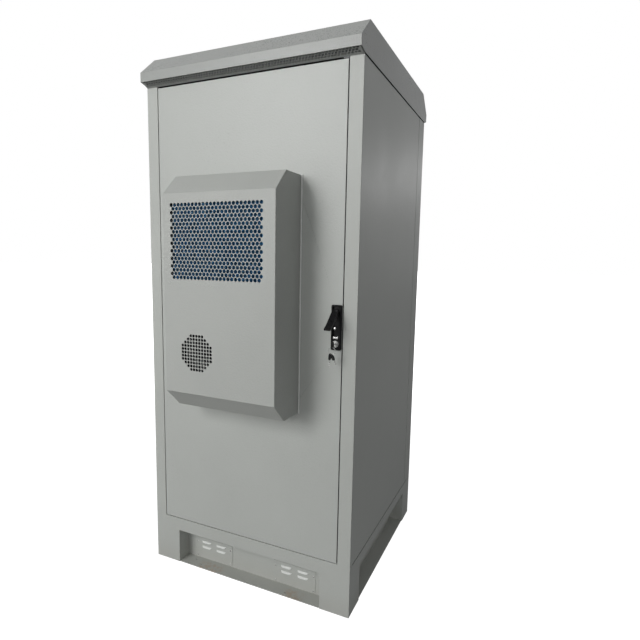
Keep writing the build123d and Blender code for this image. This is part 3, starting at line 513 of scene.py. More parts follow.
@dataclass(frozen=True)
class ZincSheet:
    """Hot-dip zinc coated steel with its spangle."""

    name: str
    colour: Colour = (0.50, 0.51, 0.52)
    spangle: float = 0.011

    def material(self) -> bpy.types.Material:
        """The finished material."""
        shader = Shader(self.name)
        crystal = shader.node(
            "ShaderNodeSeparateColor", {}, {0: shader.cells(self.spangle, "Color")}, "Red"
        )
        fine = shader.noise(0.003, 3.0)
        colour = shader.mix(crystal * 0.6 + fine * 0.4, tint(self.colour, 0.84), tint(self.colour, 1.14))
        rough = crystal * 0.14 + (fine - 0.5) * 0.12 + 0.36
        normal = shader.bump(fine, 0.00004)
        return shader.surface(Base_Color=colour, Roughness=rough, Metallic=0.9, Normal=normal)


@dataclass(frozen=True)
class PlatedSteel:
    """Bright plated steel with faint turning marks and fingerprints."""

    name: str
    colour: Colour = (0.62, 0.62, 0.61)
    roughness: float = 0.27

    def material(self) -> bpy.types.Material:
        """The finished material."""
        shader = Shader(self.name)
        smear = shader.noise(0.009, 3.0, 0.6)
        grain = shader.noise(0.0006, 2.0)
        colour = shader.mix(smear, tint(self.colour, 0.88), tint(self.colour, 1.10))
        rough = (smear - 0.5) * 0.22 + (grain - 0.5) * 0.14 + self.roughness
        normal = shader.bump(grain, 0.00001)
        return shader.surface(Base_Color=colour, Roughness=rough, Metallic=1.0, Normal=normal)


@dataclass(frozen=True)
class SatinBlack:
    """Black coat on cast or moulded furniture, a little greyer where hands polish it."""

    name: str
    colour: Colour = (0.007, 0.007, 0.0075)
    roughness: float = 0.30
    grain: float = 0.0009
    specular: float = 0.16

    def material(self) -> bpy.types.Material:
        """The finished material."""
        shader = Shader(self.name)
        grain = shader.noise(self.grain, 2.0)
        cloud = shader.noise(0.018, 3.0)
        colour = shader.mix(cloud * 0.7 + grain * 0.3, tint(self.colour, 0.7), tint(self.colour, 1.5))
        rough = (cloud - 0.5) * 0.26 + (grain - 0.5) * 0.18 + self.roughness
        normal = shader.bump(grain, 0.00002)
        return shader.surface(
            Base_Color=colour, Roughness=rough, Normal=normal, Specular_IOR_Level=self.specular
        )


@dataclass(frozen=True)
class Rubber:
    """Matt foam or moulded rubber."""

    name: str
    colour: Colour = (0.012, 0.012, 0.0125)
    pore: float = 0.0012

    def material(self) -> bpy.types.Material:
        """The finished material."""
        shader = Shader(self.name)
        pores = shader.cells(self.pore)
        dust = shader.noise(0.03, 4.0, 0.6)
        colour = shader.mix(dust.band(0.45, 0.75), self.colour, tint(self.colour, 3.0))
        rough = (dust - 0.5) * 0.2 + 0.82
        return shader.surface(Base_Color=colour, Roughness=rough, Normal=shader.bump(pores, 0.00012))


@dataclass(frozen=True)
class CoatedFins:
    """Thin coil fins with a blue corrosion coat, whose colour noise paints bright glints and darker shade.
    """

    name: str
    colour: Colour = (0.055, 0.200, 0.370)
    pitch: float = 0.0032

    def material(self) -> bpy.types.Material:
        """The finished material."""
        shader = Shader(self.name)
        painted_glints = shader.noise(0.006, 3.0, 0.7, shader.stretched((1.0, 1.0, 0.4)))
        louvre = shader.axis("Z") / self.pitch % 1.0
        # Painted light: the noise lightens the fins' colour into glints and darkens it into shade.
        colour = shader.mix(painted_glints.band(0.40, 0.72), tint(self.colour, 0.55), tint(self.colour, 2.1))
        rough = (painted_glints - 0.5) * 0.3 + 0.38
        normal = shader.bump(louvre, 0.0003)
        return shader.surface(Base_Color=colour, Roughness=rough, Metallic=0.25, Normal=normal)


@dataclass(frozen=True)
class BareCopper:
    """Copper bar, dulled by handling."""

    name: str
    colour: Colour = (0.72, 0.36, 0.21)

    def material(self) -> bpy.types.Material:
        """The finished material."""
        shader = Shader(self.name)
        dull = shader.noise(0.02, 4.0, 0.6)
        drawn = shader.noise(0.002, 2.0, 0.5, shader.stretched((0.05, 1.0, 1.0)))
        colour = shader.mix(dull.band(0.35, 0.75), self.colour, (0.34, 0.17, 0.10))
        rough = dull * 0.30 + (drawn - 0.5) * 0.2 + 0.16
        return shader.surface(
            Base_Color=colour, Roughness=rough, Metallic=1.0, Normal=shader.bump(drawn, 0.00002)
        )


class Palette:
    """Every finish of the cabinet, by the record's material slot."""

    def __init__(self) -> None:
        """Makes each material once."""
        grey, black = (0.475, 0.490, 0.462), (0.012, 0.012, 0.013)
        fine = 0.0001
        finishes = {
            "frame_paint": PowderCoat("frame_coat", grey, scuffs=((-0.18, 0.07), (0.21, 0.05))),
            "door_paint": PowderCoat("door_coat", (0.480, 0.496, 0.470), 0.33),
            # The roof's coat is the frame's grey made darker: painted shade on the roof and on the eave
            # strips.
            "roof_paint": PowderCoat("roof_coat_painted_shade", (0.350, 0.361, 0.345), 0.31),
            "cover_paint": PowderCoat("cover_coat", (0.445, 0.458, 0.434), 0.42),
            "zinc_sheet": ZincSheet("zinc_coat"),
            "bright_steel": PlatedSteel("bright_plate"),
            "black_handle": SatinBlack("handle_black"),
            "black_plastic": SatinBlack("moulded_black", black, 0.44, 0.0006),
            "rubber": Rubber("seal_rubber"),
            "coil_fins": CoatedFins("fin_coat_painted_glints"),
            "copper": BareCopper("earth_copper"),
            "compressor_paint": SatinBlack("black_enamel", black, 0.22, 0.003),
        }
        self.slots = {slot: finish.material() for slot, finish in finishes.items()}
        # Painted highlight: the louvres get a much lighter copy of the frame's grey, as the light on their
        # raised tops.
        self.louvre_painted_highlight = PowderCoat("louvre_painted_highlight", (0.74, 0.755, 0.73), 0.30, depth=fine).material()
        # Painted highlight: the sealing beads get a near-white coat, as a light line along the cover's
        # flanges.
        self.bead_painted_highlight = PowderCoat("bead_painted_highlight", (0.86, 0.87, 0.85), 0.45, depth=fine).material()

    def dress_nodes(self) -> None:
        """Gives every CAD node the material of its slot."""
        for part in frame["record"]["subparts"]:
            mesh = NODES[part["node"]].data
            mesh.materials.clear()
            mesh.materials.append(self.slots[part["material_slot"]])


def shade(mesh: bpy.types.Mesh, angle: float = SMOOTH_ANGLE) -> None:
    """Smooth shading with sharp edges beyond an angle."""
    mesh.shade_smooth()
    mesh.set_sharp_from_angle(angle=angle)


def mesh_from(name: str, form: bmesh.types.BMesh) -> bpy.types.Mesh:
    """Turns a bmesh into a named mesh and frees it."""
    mesh = bpy.data.meshes.new(name)
    form.to_mesh(mesh)
    form.free()
    return mesh


def baked(holder: bpy.types.Object) -> bpy.types.Mesh:
    """The mesh of an object with its modifiers applied; the object is deleted."""
    bpy.context.view_layer.update()
    graph = bpy.context.evaluated_depsgraph_get()
    mesh = bpy.data.meshes.new_from_object(holder.evaluated_get(graph), depsgraph=graph)
    bpy.data.objects.remove(holder)
    return mesh


def overfill(mesh: bpy.types.Mesh) -> float:
    """How much more area a mesh's triangles cover than its faces have; 1 where none is folded over."""
    mesh.calc_loop_triangles()
    return sum(part.area for part in mesh.loop_triangles) / sum(face.area for face in mesh.polygons)


def holder_of(mesh: bpy.types.Mesh) -> bpy.types.Object:
    """A loose object that carries a mesh while it is worked on."""
    holder = bpy.data.objects.new("work", mesh)
    bpy.context.scene.collection.objects.link(holder)
    return holder


class Workshop:
    """Makes finished pieces: refines, joins, dresses and places them in the frame."""

    def __init__(self, palette: Palette) -> None:
        """Keeps the palette and counts what is made."""
        self.palette = palette
        self.count = 0

    def piece(
        self,
        name: str,
        mesh: bpy.types.Mesh,
        body: Body,
        slot: str,
        replaced: Iterable[str] = (),
        material: bpy.types.Material | None = None,
    ) -> bpy.types.Object:
        """Puts a finished mesh into the frame.

        Args:
            name: the piece's name.
            mesh: its mesh, with its place in it.
            body: what it moves with.
            slot: the record's material slot.
            replaced: CAD nodes that it stands for.
            material: its finish, where that isn't the slot's own.

        Returns:
            The finished object.
        """
        mesh.materials.clear()
        mesh.materials.append(material or self.palette.slots[slot])
        for face in mesh.polygons:
            face.material_index = 0
        mesh.name = name
        made = bpy.data.objects.new(name, mesh)
        bpy.context.scene.collection.objects.link(made)
        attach(made, body.value)
        if replaced:
            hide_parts(*replaced)
        self.count += 1
        LOG.info("%s on %s: %d faces", name, body.value, len(mesh.polygons))
        return made

    def merged_copy(self, node: str, cut: bool = False) -> bpy.types.Mesh:
        """A CAD node's mesh with its corners joined and its flat faces made whole.

        Args:
            node: the CAD node.
            cut: cuts the faces with inward corners into triangles again.

        Returns:
            The merged mesh.
        """
        form = bmesh.new()
        form.from_mesh(NODES[node].data)
        bmesh.ops.remove_doubles(form, verts=form.verts, dist=CAD_MERGE)
        bmesh.ops.dissolve_limit(
            form,
            angle_limit=FLAT_ANGLE,
            use_dissolve_boundaries=False,
            verts=form.verts,
            edges=form.edges,
        )
        if cut:
            bent = [face for face in form.faces if not all(corner.is_convex for corner in face.loops)]
            bmesh.ops.triangulate(form, faces=bent)
        return mesh_from(node, form)

    def eased(
        self, mesh: bpy.types.Mesh, width: float, steps: int = 2, angle: float = 40.0
    ) -> bpy.types.Mesh:
        """Rounds the sharp edges of a mesh.

        Args:
            mesh: a closed mesh.
            width: width of the rounded edge.
            steps: faces across it.
            angle: edges that turn by less, in degrees, stay as they are.

        Returns:
            The rounded mesh.
        """
        holder = holder_of(mesh)
        bevel = holder.modifiers.new("edges", "BEVEL")
        bevel.width = width
        bevel.segments = steps
        bevel.limit_method = "ANGLE"
        bevel.angle_limit = math.radians(angle)
        bevel.use_clamp_overlap = True
        bevel.miter_outer = "MITER_ARC"
        shade(mesh, EASED_ANGLE)
        normals = holder.modifiers.new("normals", "WEIGHTED_NORMAL")
        normals.keep_sharp = False
        return baked(holder)

    def refine(self, node: str, width: float, steps: int = 2) -> bpy.types.Object:
        """Replaces a CAD node by a copy with rounded edges, whole or cut, as its faces fill best."""
        choices = [self.eased(self.merged_copy(node, cut), width, steps) for cut in (False, True)]
        return self.stand_in(f"{node}_eased", min(choices, key=overfill), node)

    def stand_in(self, name: str, mesh: bpy.types.Mesh, node: str) -> bpy.types.Object:
        """A piece that takes a CAD node's place, body and slot."""
        return self.piece(name, mesh, Body(BODIES[node]), SLOTS[node], [node])

    def repeated(
        self, name: str, shape: bpy.types.Mesh, places: Sequence[Point], slot: str
    ) -> bpy.types.Mesh:
        """Copies of a shape at given places, by Geometry Nodes.

        Args:
            name: the tree's name.
            shape: what is repeated, turned as it should stand.
            places: where its origin goes.
            slot: the finish.

        Returns:
            All copies in one mesh.
        """
        marks = bpy.data.meshes.new("marks")
        marks.from_pydata(list(places), [], [])
        plan = Pattern(name, {"Shape": holder_of(shape)})
        copies = plan.scattered(plan.given(), plan.shape("Shape"))
        return plan.run(copies, self.palette.slots[slot], marks)

    def wheel(self, name: str, shape: bpy.types.Mesh, count: int, slot: str) -> bpy.types.Mesh:
        """Copies of a shape evenly round the Z axis, by Geometry Nodes."""
        plan = Pattern(name, {"Shape": holder_of(shape), "Count": count})
        line = plan.heap(plan.size("Count"))
        number = plan.node("GeometryNodeInputIndex")
        turn = plan.vector(0.0, 0.0, number * math.tau / plan.size("Count"))
        ring = plan.scattered(line, plan.shape("Shape"), turn=turn)
        return plan.run(ring, self.palette.slots[slot])


@dataclass(frozen=True)
class Lamp:
    """A soft square lamp, out of the camera's sight, that points at the middle of the cabinet."""

    name: str
    place: Point
    size: float
    power: float
    target: Point = (0.0, 0.0, 1.0)

    def build(self) -> None:
        """Hangs the lamp."""
        data = bpy.data.lights.new(self.name, "AREA")
        data.size = self.size
        data.energy = self.power
        lamp = bpy.data.objects.new(self.name, data)
        lamp.visible_camera = False
        bpy.context.scene.collection.objects.link(lamp)
        aim = Vector(self.target) - Vector(self.place)
        turn = aim.to_track_quat("-Z", "Y").to_matrix().to_4x4()
        lamp.matrix_world = Matrix.Translation(self.place) @ turn


@dataclass
class Studio:
    """Camera, lamps, world and floor."""

    camera_place: Point = (1.009554, -1.979503, 1.310651)
    camera_right: Point = (0.91074119, 0.41253598, 0.01909303)
    camera_up: Point = (-0.06878162, 0.10593533, 0.99199133)
    camera_back: Point = (0.40720949, -0.90476061, 0.12485457)
    lens_mm: float = 27.452
    sensor_mm: float = 36.0
    lamps: tuple[Lamp, ...] = (
        Lamp("key", (-3.6, -8.0, 3.9), 4.0, 296.0),
        Lamp("sheen", (-1.15, -3.7, 3.3), 0.6, 22.0),
        Lamp("fill", (2.0, -8.0, 2.6), 4.0, 68.0),
        Lamp("wash", (-2.0, -2.8, 0.8), 1.8, 9.0),
        Lamp("side_sheen", (1.36, 3.0, 2.16), 0.4, 2.2),
    )
    horizon: Colour = (0.31, 0.315, 0.32)
    zenith: Colour = (0.20, 0.203, 0.208)
    sky_gloss: float = 0.5
    floor_half: float = 60.0
    floor_gloss: float = 0.12
    floor_tones: Flat = (0.29, 0.32)
    floor_glow: float = 1.65
    glow_reach: Flat = (0.8, 3.2)
    glow_near: float = 0.64
    under_x: Flat = (0.195, 0.190)
    under_y: Flat = (0.178, 0.173)

    def build(self) -> None:
        """Sets up everything that isn't the object."""
        bpy.context.scene.view_settings.view_transform = "Standard"
        self._camera()
        self._world()
        for lamp in self.lamps:
            lamp.build()
        self._floor()

    def _camera(self) -> None:
        """The camera at the photograph's viewing angle."""
        data = bpy.data.cameras.new("camera")
        data.lens = self.lens_mm
        data.sensor_width = self.sensor_mm
        camera = bpy.data.objects.new("camera", data)
        bpy.context.scene.collection.objects.link(camera)
        turn = Matrix((self.camera_right, self.camera_up, self.camera_back)).transposed().to_4x4()
        camera.matrix_world = Matrix.Translation(self.camera_place) @ turn
        bpy.context.scene.camera = camera

    def _world(self) -> None:
        """White where it is seen, and a dim sky for diffuse light."""
        world = bpy.data.worlds.new("studio")
        bpy.context.scene.world = world
        world.use_nodes = True
        world.node_tree.nodes.clear()
        graph = Graph(world.node_tree)
        seen = graph.seen(self.sky_gloss)
        way = graph.node("ShaderNodeTexCoord", output="Generated")
        height = graph.node("ShaderNodeSeparateXYZ", sockets={0: way}, output="Z").band(0.05, 0.85)
        mixing = {"data_type": "RGBA"}
        dome = {"Factor_Float": height, "A_Color": self.horizon, "B_Color": self.zenith}
        sky = graph.node("ShaderNodeMix", mixing, dome, "Result_Color")
        shown = {"Factor_Float": seen, "A_Color": sky, "B_Color": (1.0, 1.0, 1.0)}
        colour = graph.node("ShaderNodeMix", mixing, shown, "Result_Color")
        light = graph.node("ShaderNodeBackground", sockets={"Color": colour, "Strength": 1.0})
        graph.node("ShaderNodeOutputWorld", sockets={"Surface": light})

    def _floor(self) -> None:
        """A white floor that keeps the cabinet's shadow and is dark under it."""
        form = bmesh.new()
        bmesh.ops.create_grid(form, x_segments=1, y_segments=1, size=self.floor_half)
        floor = bpy.data.objects.new("floor", mesh_from("floor", form))
        bpy.context.scene.collection.objects.link(floor)
        shader = Shader("floor_white")
        seen = shader.seen(self.floor_gloss)
        paper = shader.noise(0.02, 3.0)
        dark, pale = self.floor_tones
        colour = shader.mix(paper, (dark, dark, dark), (pale, pale, pale))
        matt = shader.node("ShaderNodeBsdfDiffuse", sockets={"Color": colour})
        away = shader.node("ShaderNodeVectorMath", {"operation": "LENGTH"}, {0: shader.place}, "Value")
        across, along = shader.axis("X"), shader.axis("Y")
        under = (across * across).band(*self.under_x) * (along * along).band(*self.under_y)
        open_share = away.band(*self.glow_reach) * (1 - self.glow_near) + self.glow_near
        share = open_share * (1.0 - under * 0.96)
        white = {"Color": (1.0, 1.0, 1.0), "Strength": self.floor_glow}
        glow = shader.node("ShaderNodeEmission", sockets=white)
        surface = shader.node("ShaderNodeMixShader", sockets={0: seen * share, 1: matt, 2: glow})
        shader.node("ShaderNodeOutputMaterial", sockets={"Surface": surface})
        floor.data.materials.append(shader.material)


REARWARD = Matrix.Rotation(math.radians(-90), 4, "X")
FORWARD = Matrix.Rotation(math.radians(90), 4, "X")
DOWNWARD = Matrix.Rotation(math.radians(180), 4, "X")
HALF_TURN = Matrix.Rotation(math.radians(180), 4, "Z")
SIDEWAYS = Matrix.Rotation(math.radians(90), 4, "Y")


def turned(mesh: bpy.types.Mesh, place: Matrix) -> bpy.types.Mesh:
    """A mesh moved by a matrix."""
    mesh.transform(place)
    mesh.update()
    return mesh


def upright(x: float, y: float, z: float) -> Matrix:
    """Stands a flat pattern up: its X stays, its Y becomes Z, and its front faces -Y at a place."""
    return Matrix.Translation((x, y, z)) @ FORWARD


def combined(meshes: Sequence[bpy.types.Mesh]) -> bpy.types.Mesh:
    """Several meshes in one."""
    form = bmesh.new()
    for mesh in meshes:
        form.from_mesh(mesh)
    return mesh_from("combined", form)


def scaled(profile: Sequence[Flat], wide: float, tall: float) -> list[Flat]:
    """A profile of shares in real sizes."""
    return [(wide * r, tall * z) for r, z in profile]


def round_points(radius: float, count: int) -> list[Flat]:
    """Points evenly round the origin."""
    angles = [math.tau * k / count for k in range(count)]
    return [(radius * math.cos(a), radius * math.sin(a)) for a in angles]


def fill_rows(form: bmesh.types.BMesh, rows: Sequence[Sequence[bmesh.types.BMVert]]) -> None:
    """Fills an open surface between rows of points."""
    for lower, upper in zip(rows, rows[1:]):
        for j in range(len(lower) - 1):
            form.faces.new((lower[j], lower[j + 1], upper[j + 1], upper[j]))


def fill_rings(form: bmesh.types.BMesh, rings: Sequence[Sequence[bmesh.types.BMVert]]) -> None:
    """Joins rings of points, the last to the first, into one closed skin."""
    for k, ring in enumerate(rings):
        for j in range(len(ring)):
            form.faces.new((rings[k - 1][j - 1], rings[k - 1][j], ring[j], ring[j - 1]))
    bmesh.ops.recalc_face_normals(form, faces=form.faces)


def walled(mesh: bpy.types.Mesh, thickness: float, offset: float) -> bpy.types.Object:
    """A holder of an open surface, which gets its wall when it is baked."""
    holder = holder_of(mesh)
    wall = holder.modifiers.new("wall", "SOLIDIFY")
    wall.thickness = thickness
    wall.offset = offset
    return holder


def rounded(corners: Sequence[Flat], radii: Sequence[float], steps: int = 5) -> list[Flat]:
    """An open line of corners with an arc in each.

    Args:
        corners: the line's points.
        radii: one radius for each point; 0 keeps the corner.
        steps: pieces in each arc.

    Returns:
        The line's points with the arcs' points in place.
    """
    points: list[Flat] = []
    for k, (corner, radius) in enumerate(zip(corners, radii)):
        if radius == 0:
            points.append(corner)
            continue
        here = Vector(corner)
        back = (Vector(corners[k - 1]) - here).normalized()
        ahead = (Vector(corners[(k + 1) % len(corners)]) - here).normalized()
        half = back.angle(ahead) / 2
        reach = radius / math.tan(half)
        centre = here + (back + ahead).normalized() * (radius / math.sin(half))
        start, end = here + back * reach - centre, here + ahead * reach - centre
        sweep = start.angle(end)
        for step in range(steps + 1):
            share = step / steps
            first = math.sin((1 - share) * sweep) / math.sin(sweep)
            last = math.sin(share * sweep) / math.sin(sweep)
            points.append(tuple(centre + start * first + end * last))
    return points


def prism(outline: Sequence[Flat], low: float, high: float, axis: str) -> bmesh.types.BMesh:
    """A closed solid of an outline between two places on an axis.

    Args:
        outline: points in the two other axes, in the order XYZ.
        low: where the solid starts on the axis.
        high: where it ends.
        axis: X, Y or Z.

    Returns:
        The solid, with its faces outwards.
    """
    form = bmesh.new()
    places = {
        "X": lambda a, b, t: (t, a, b),
        "Y": lambda a, b, t: (a, t, b),
        "Z": lambda a, b, t: (a, b, t),
    }
    rings = [[form.verts.new(places[axis](a, b, t)) for a, b in outline] for t in (low, high)]
    form.faces.new(rings[0])
    form.faces.new(rings[1])
    for k in range(len(outline)):
        form.faces.new((rings[0][k - 1], rings[0][k], rings[1][k], rings[1][k - 1]))
    bmesh.ops.recalc_face_normals(form, faces=form.faces)
    return form


def lathe(profile: Sequence[Flat], steps: int = 32) -> bpy.types.Mesh:
    """A closed solid turned about the Z axis.

    Args:
        profile: radius and height of each point, from the axis below to the axis above.
        steps: faces round it.

    Returns:
        The solid's mesh.
    """
    form = bmesh.new()
    rings = []
    for radius, height in profile:
        points = round_points(radius, steps if radius else 1)
        rings.append([form.verts.new((*point, height)) for point in points])
    for lower, upper in zip(rings, rings[1:]):
        for k in range(steps):
            pairs = ((lower, k), (lower, k + 1), (upper, k + 1), (upper, k))
            corners = dict.fromkeys(ring[place % len(ring)] for ring, place in pairs)
            form.faces.new(list(corners))
    bmesh.ops.recalc_face_normals(form, faces=form.faces)
    mesh = mesh_from("turned", form)
    shade(mesh)
    return mesh


def wire_ring(radius: float, wire: float, steps: int = 60, sides: int = 10) -> bpy.types.Mesh:
    """A ring of round wire about the Z axis."""
    form = bmesh.new()
    rings = []
    for k in range(steps):
        turn = Matrix.Rotation(math.tau * k / steps, 3, "Z")
        points = round_points(wire, sides)
        rings.append([form.verts.new(turn @ Vector((radius + out, 0.0, up))) for out, up in points])
    fill_rings(form, rings)
    mesh = mesh_from("ring", form)
    mesh.shade_smooth()
    return mesh


def carved(mesh: bpy.types.Mesh, tool: bpy.types.Mesh, operation: str = "DIFFERENCE") -> bpy.types.Mesh:
    """One mesh cut by another, or what both share."""
    cutter = holder_of(tool)
    holder = holder_of(mesh)
    cut = holder.modifiers.new("cut", "BOOLEAN")
    cut.operation = operation
    cut.solver = "EXACT"
    cut.object = cutter
    result = baked(holder)
    bpy.data.objects.remove(cutter)
    return result


def smooth_line(points: Sequence[Flat], steps: int = 6) -> list[Flat]:
    """A smooth curve through points, as short runs."""
    ends = [points[0], *points, points[-1]]
    line = []
    for before, start, end, after in zip(ends, ends[1:], ends[2:], ends[3:]):
        p0, p1, p2, p3 = (Vector(point) for point in (before, start, end, after))
        for step in range(steps):
            t = step / steps
            bend = (2 * p0 - 5 * p1 + 4 * p2 - p3) * t * t + (3 * p1 - p0 - 3 * p2 + p3) * t ** 3
            line.append(tuple((2 * p1 + (p2 - p0) * t + bend) / 2))
    return [*line, points[-1]]


def plate(
    width: float, height: float, corner: float, thickness: float, axis: str, at: Point
) -> bpy.types.Mesh:
    """A flat block with rounded corners.

    Args:
        width: size along the first of the two other axes.
        height: size along the second.
        corner: radius of the corners.
        thickness: size along the axis.
        axis: X, Y or Z.
        at: its middle.

    Returns:
        The block's mesh.
    """
    x, y = width / 2, height / 2
    outline = rounded([(-x, -y), (x, -y), (x, y), (-x, y)], [corner] * 4)
    block = mesh_from("plate", prism(outline, -thickness / 2, thickness / 2, axis))
    return turned(block, Matrix.Translation(at))


def rod(radius: float, reach: float, steps: int) -> bpy.types.Mesh:
    """A round rod along the Z axis, to the same reach on both sides of the origin."""
    return lathe([(0.0, -reach), (radius, -reach), (radius, reach), (0.0, reach)], steps)


def pan_head(radius: float, height: float) -> bpy.types.Mesh:
    """A pan-head screw with a cross recess, seated on the XY plane."""
    dome = [(1.0, 0.0), (1.0, 0.30), (0.93, 0.60), (0.74, 0.85), (0.42, 0.97), (0.0, 1.0)]
    head = lathe([(0.0, 0.0), *scaled(dome, radius, height)], 24)
    arm, half = 0.56 * radius, 0.13 * radius
    outline = []
    for across, along, order in ((1, 1, 1), (1, -1, -1), (-1, -1, 1), (-1, 1, -1)):
        corners = [(half, arm), (half, half), (arm, half)][::order]
        outline += [(across * x, along * y) for x, y in corners]
    return carved(head, mesh_from("cross", prism(outline, 0.4 * height, 2 * height, "Z")))


def hexagon_head(radius: float, height: float, washer: float) -> bpy.types.Mesh:
    """A hexagon screw's chamfered head on its washer, seated on the XY plane."""
    hexagon = mesh_from("hexagon", prism(round_points(radius, 6), washer, height, "Z"))
    cone = [(0.0, 0.0), (1.05, 0.0), (1.05, 0.74), (0.84, 1.0), (0.0, 1.0)]
    head = carved(hexagon, lathe(scaled(cone, radius, height), 48), "INTERSECT")
    disc = [(0.0, 0.0), (1.34, 0.0), (1.34, 0.8), (1.28, 1.0), (0.0, 1.0)]
    return combined([head, lathe(scaled(disc, radius, washer), 36)])


@dataclass
class AirConditioner:
    """The unit in the door: its folded cover with both perforated fields, coils, fans, compressor."""

    half_width: float = 0.229
    fold_depth: float = 0.104
    fold_height: float = 0.069
    fold_radius: float = 0.004
    cheek_radius: float = 0.0022
    sheet: float = 0.0015
    pitch: float = 0.0153
    rows: int = 20
    columns: int = 25
    field_left: float = -0.191
    field_top: float = 1.487
    hole: float = 0.0068
    small_pitch: float = 0.0122
    small_count: int = 11
    small_centre: Flat = (-0.089, 0.968)
    small_hole: float = 0.0054
    bead: Flat = (0.0030, 0.0026)
    sides: int = 18
    fin: float = 0.0004
    tube: float = 0.0042
    fan_hub: float = 0.024
    fan_reach: float = 0.0697
    blades: int = 7
    blade: float = 0.0015
    blade_steps: int = 8
    chord: Flat = (0.028, 0.040)
    blade_turn: Flat = (36.0, 20.0)
    can: float = 0.0425
    foot_plate: float = 0.004
    foot_radius: float = 0.008
    coil_inset: float = 0.012
    tube_row: float = 0.22
    tube_span: float = 0.46
    blade_root: float = 0.9
    camber: float = 0.08
    sweep: float = 0.30

    def build(self, shop: Workshop) -> None:
        """Makes the unit's pieces."""
        low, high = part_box("ac_cover")
        self.face, self.low, self.high = low.y, low.z, high.z
        self.door = high.y
        shell = self._shell(shop)
        face = self._face(shop)
        shop.piece("ac_cover_folded", combined([shell, face]), Body.DOOR, "cover_paint", ["ac_cover"])
        self._beads(shop)
        self._coil(shop, "condenser_coil", 150, 18)
        self._coil(shop, "evaporator_coil", 120, 12)
        for node in ("condenser_fan", "supply_fan"):
            self._fan(shop, node)
        self._compressor(shop)

    def _shell(self, shop: Workshop) -> bpy.types.Mesh:
        """The folded cover without its flat front and without its open back."""
        fold = self.door - self.fold_depth
        edge = self.face
        half = [(self.door, self.low), (fold, self.low), (edge, self.low + self.fold_height)]
        corners = half + [(y, self.low + self.high - z) for y, z in reversed(half)]
        radii = [0.0, self.fold_radius, self.fold_radius, self.fold_radius, self.fold_radius, 0.0]
        form = prism(rounded(corners, radii), -self.half_width, self.half_width, "X")
        sharp = [
            e for e in form.edges
            if e.calc_face_angle(0.0) > 1.0 and not all(abs(v.co.y - self.door) < 1e-6 for v in e.verts)
        ]
        bmesh.ops.bevel(
            form, geom=sharp, offset=self.cheek_radius, segments=4, profile=0.5,
            affect="EDGES", clamp_overlap=True,
        )
        spare = [f for f in form.faces if f.normal.y > 0.99]
        front = [f for f in form.faces if f.normal.y < -0.9999 and f.calc_area() > 0.05]
        corners = [v.co for f in front for v in f.verts]
        self.window = [min(c.x for c in corners), max(c.x for c in corners), min(c.z for c in corners)]
        self.window.append(max(c.z for c in corners))
        bmesh.ops.delete(form, geom=spare + front, context="FACES")
        for side in (-1, 1):
            self._flange(form, side)
        holder = walled(mesh_from("shell", form), self.sheet, -1.0)
        shade(holder.data, FOLDED_ANGLE)
        normals = holder.modifiers.new("normals", "WEIGHTED_NORMAL")
        normals.keep_sharp = True
        return baked(holder)

    def _flange(self, form: bmesh.types.BMesh, side: int) -> None:
        """The narrow fold that lies on the door beside the cover."""
        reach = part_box("ac_cover")[1].x
        y = self.door - self.sheet
        inner = self.half_width
        corners = [(inner, self.low), (reach, self.low), (reach, self.high), (inner, self.high)]
        ring = [form.verts.new((side * x, y, z)) for x, z in corners[::side]]
        form.faces.new(ring)

    def _face(self, shop: Workshop) -> bpy.types.Mesh:
        """The flat front with the staggered field and the round field."""
        x0, x1, z0, z1 = self.window
        row = self.pitch * math.sin(math.radians(60))
        plan = Pattern(
            "cover_front",
            {
                "Width": x1 - x0, "Height": z1 - z0, "Thickness": self.sheet,
                "Pitch": self.pitch, "Row": row, "Columns": self.columns, "Rows": self.rows,
                "Hole": self.hole, "Small pitch": self.small_pitch, "Small count": self.small_count,
                "Small hole": self.small_hole, "Sides": self.sides,
            },
        )
        middle_x, middle_z = (x0 + x1) / 2, (z0 + z1) / 2
        border = plan.quad(plan.size("Width"), plan.size("Height"))
        fields = [self._staggered(plan, middle_x, middle_z), self._round(plan, middle_x, middle_z)]
        sheet = plan.sheet(border, fields, plan.size("Thickness"))
        mesh = plan.run(sheet, shop.palette.slots["cover_paint"])
        return turned(mesh, upright(middle_x, self.face + self.sheet, middle_z))

    def _staggered(self, plan: Pattern, middle_x: float, middle_z: float) -> Signal:
        """The large field over the outdoor coil."""
        circle = plan.circle(plan.size("Hole"), plan.size("Sides"))
        counts = plan.size("Columns"), plan.size("Rows")
        holes = plan.staggered(*counts, plan.size("Pitch"), plan.size("Row"), circle)
        span = self.pitch * (self.columns - 1)
        drop = self.pitch * math.sin(math.radians(60)) * (self.rows - 1)
        offset = (self.field_left + span / 2 - middle_x, self.field_top - drop / 2 - middle_z, 0.0)
        return plan.moved(holes, offset)

    def _round(self, plan: Pattern, middle_x: float, middle_z: float) -> Signal:
        """The small field: a square grid cut to a circle."""
        count, pitch = plan.size("Small count"), plan.size("Small pitch")
        grid = plan.grid(count, count, pitch * (count - 1), pitch * (count - 1))
        place = plan.node("GeometryNodeInputPosition")
        reach = plan.node("ShaderNodeVectorMath", {"operation": "LENGTH"}, {0: place}, "Value")
        circle = plan.circle(plan.size("Small hole"), plan.size("Sides"))
        holes = plan.scattered(grid, circle, reach < pitch * count * 0.5)
        return plan.moved(holes, (self.small_centre[0] - middle_x, self.small_centre[1] - middle_z, 0.0))

    def _beads(self, shop: Workshop) -> None:
        """A sealing bead beside the cover along both flanges, coloured near white as a painted highlight
        line.
        """
        low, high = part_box("ac_cover")
        wide, proud = self.bead
        beads = []
        for side in (-1, 1):
            at = (side * (high.x - wide / 2), self.door - self.sheet - proud / 2, (low.z + high.z) / 2)
            bead = plate(wide, high.z - low.z, 0.0004, proud, "Y", at)
            beads.append(shop.eased(bead, 0.0009, 3))
        # The bead's pale coat is a painted highlight.
        coat = shop.palette.bead_painted_highlight
        shop.piece("ac_cover_beads", combined(beads), Body.DOOR, "cover_paint", material=coat)

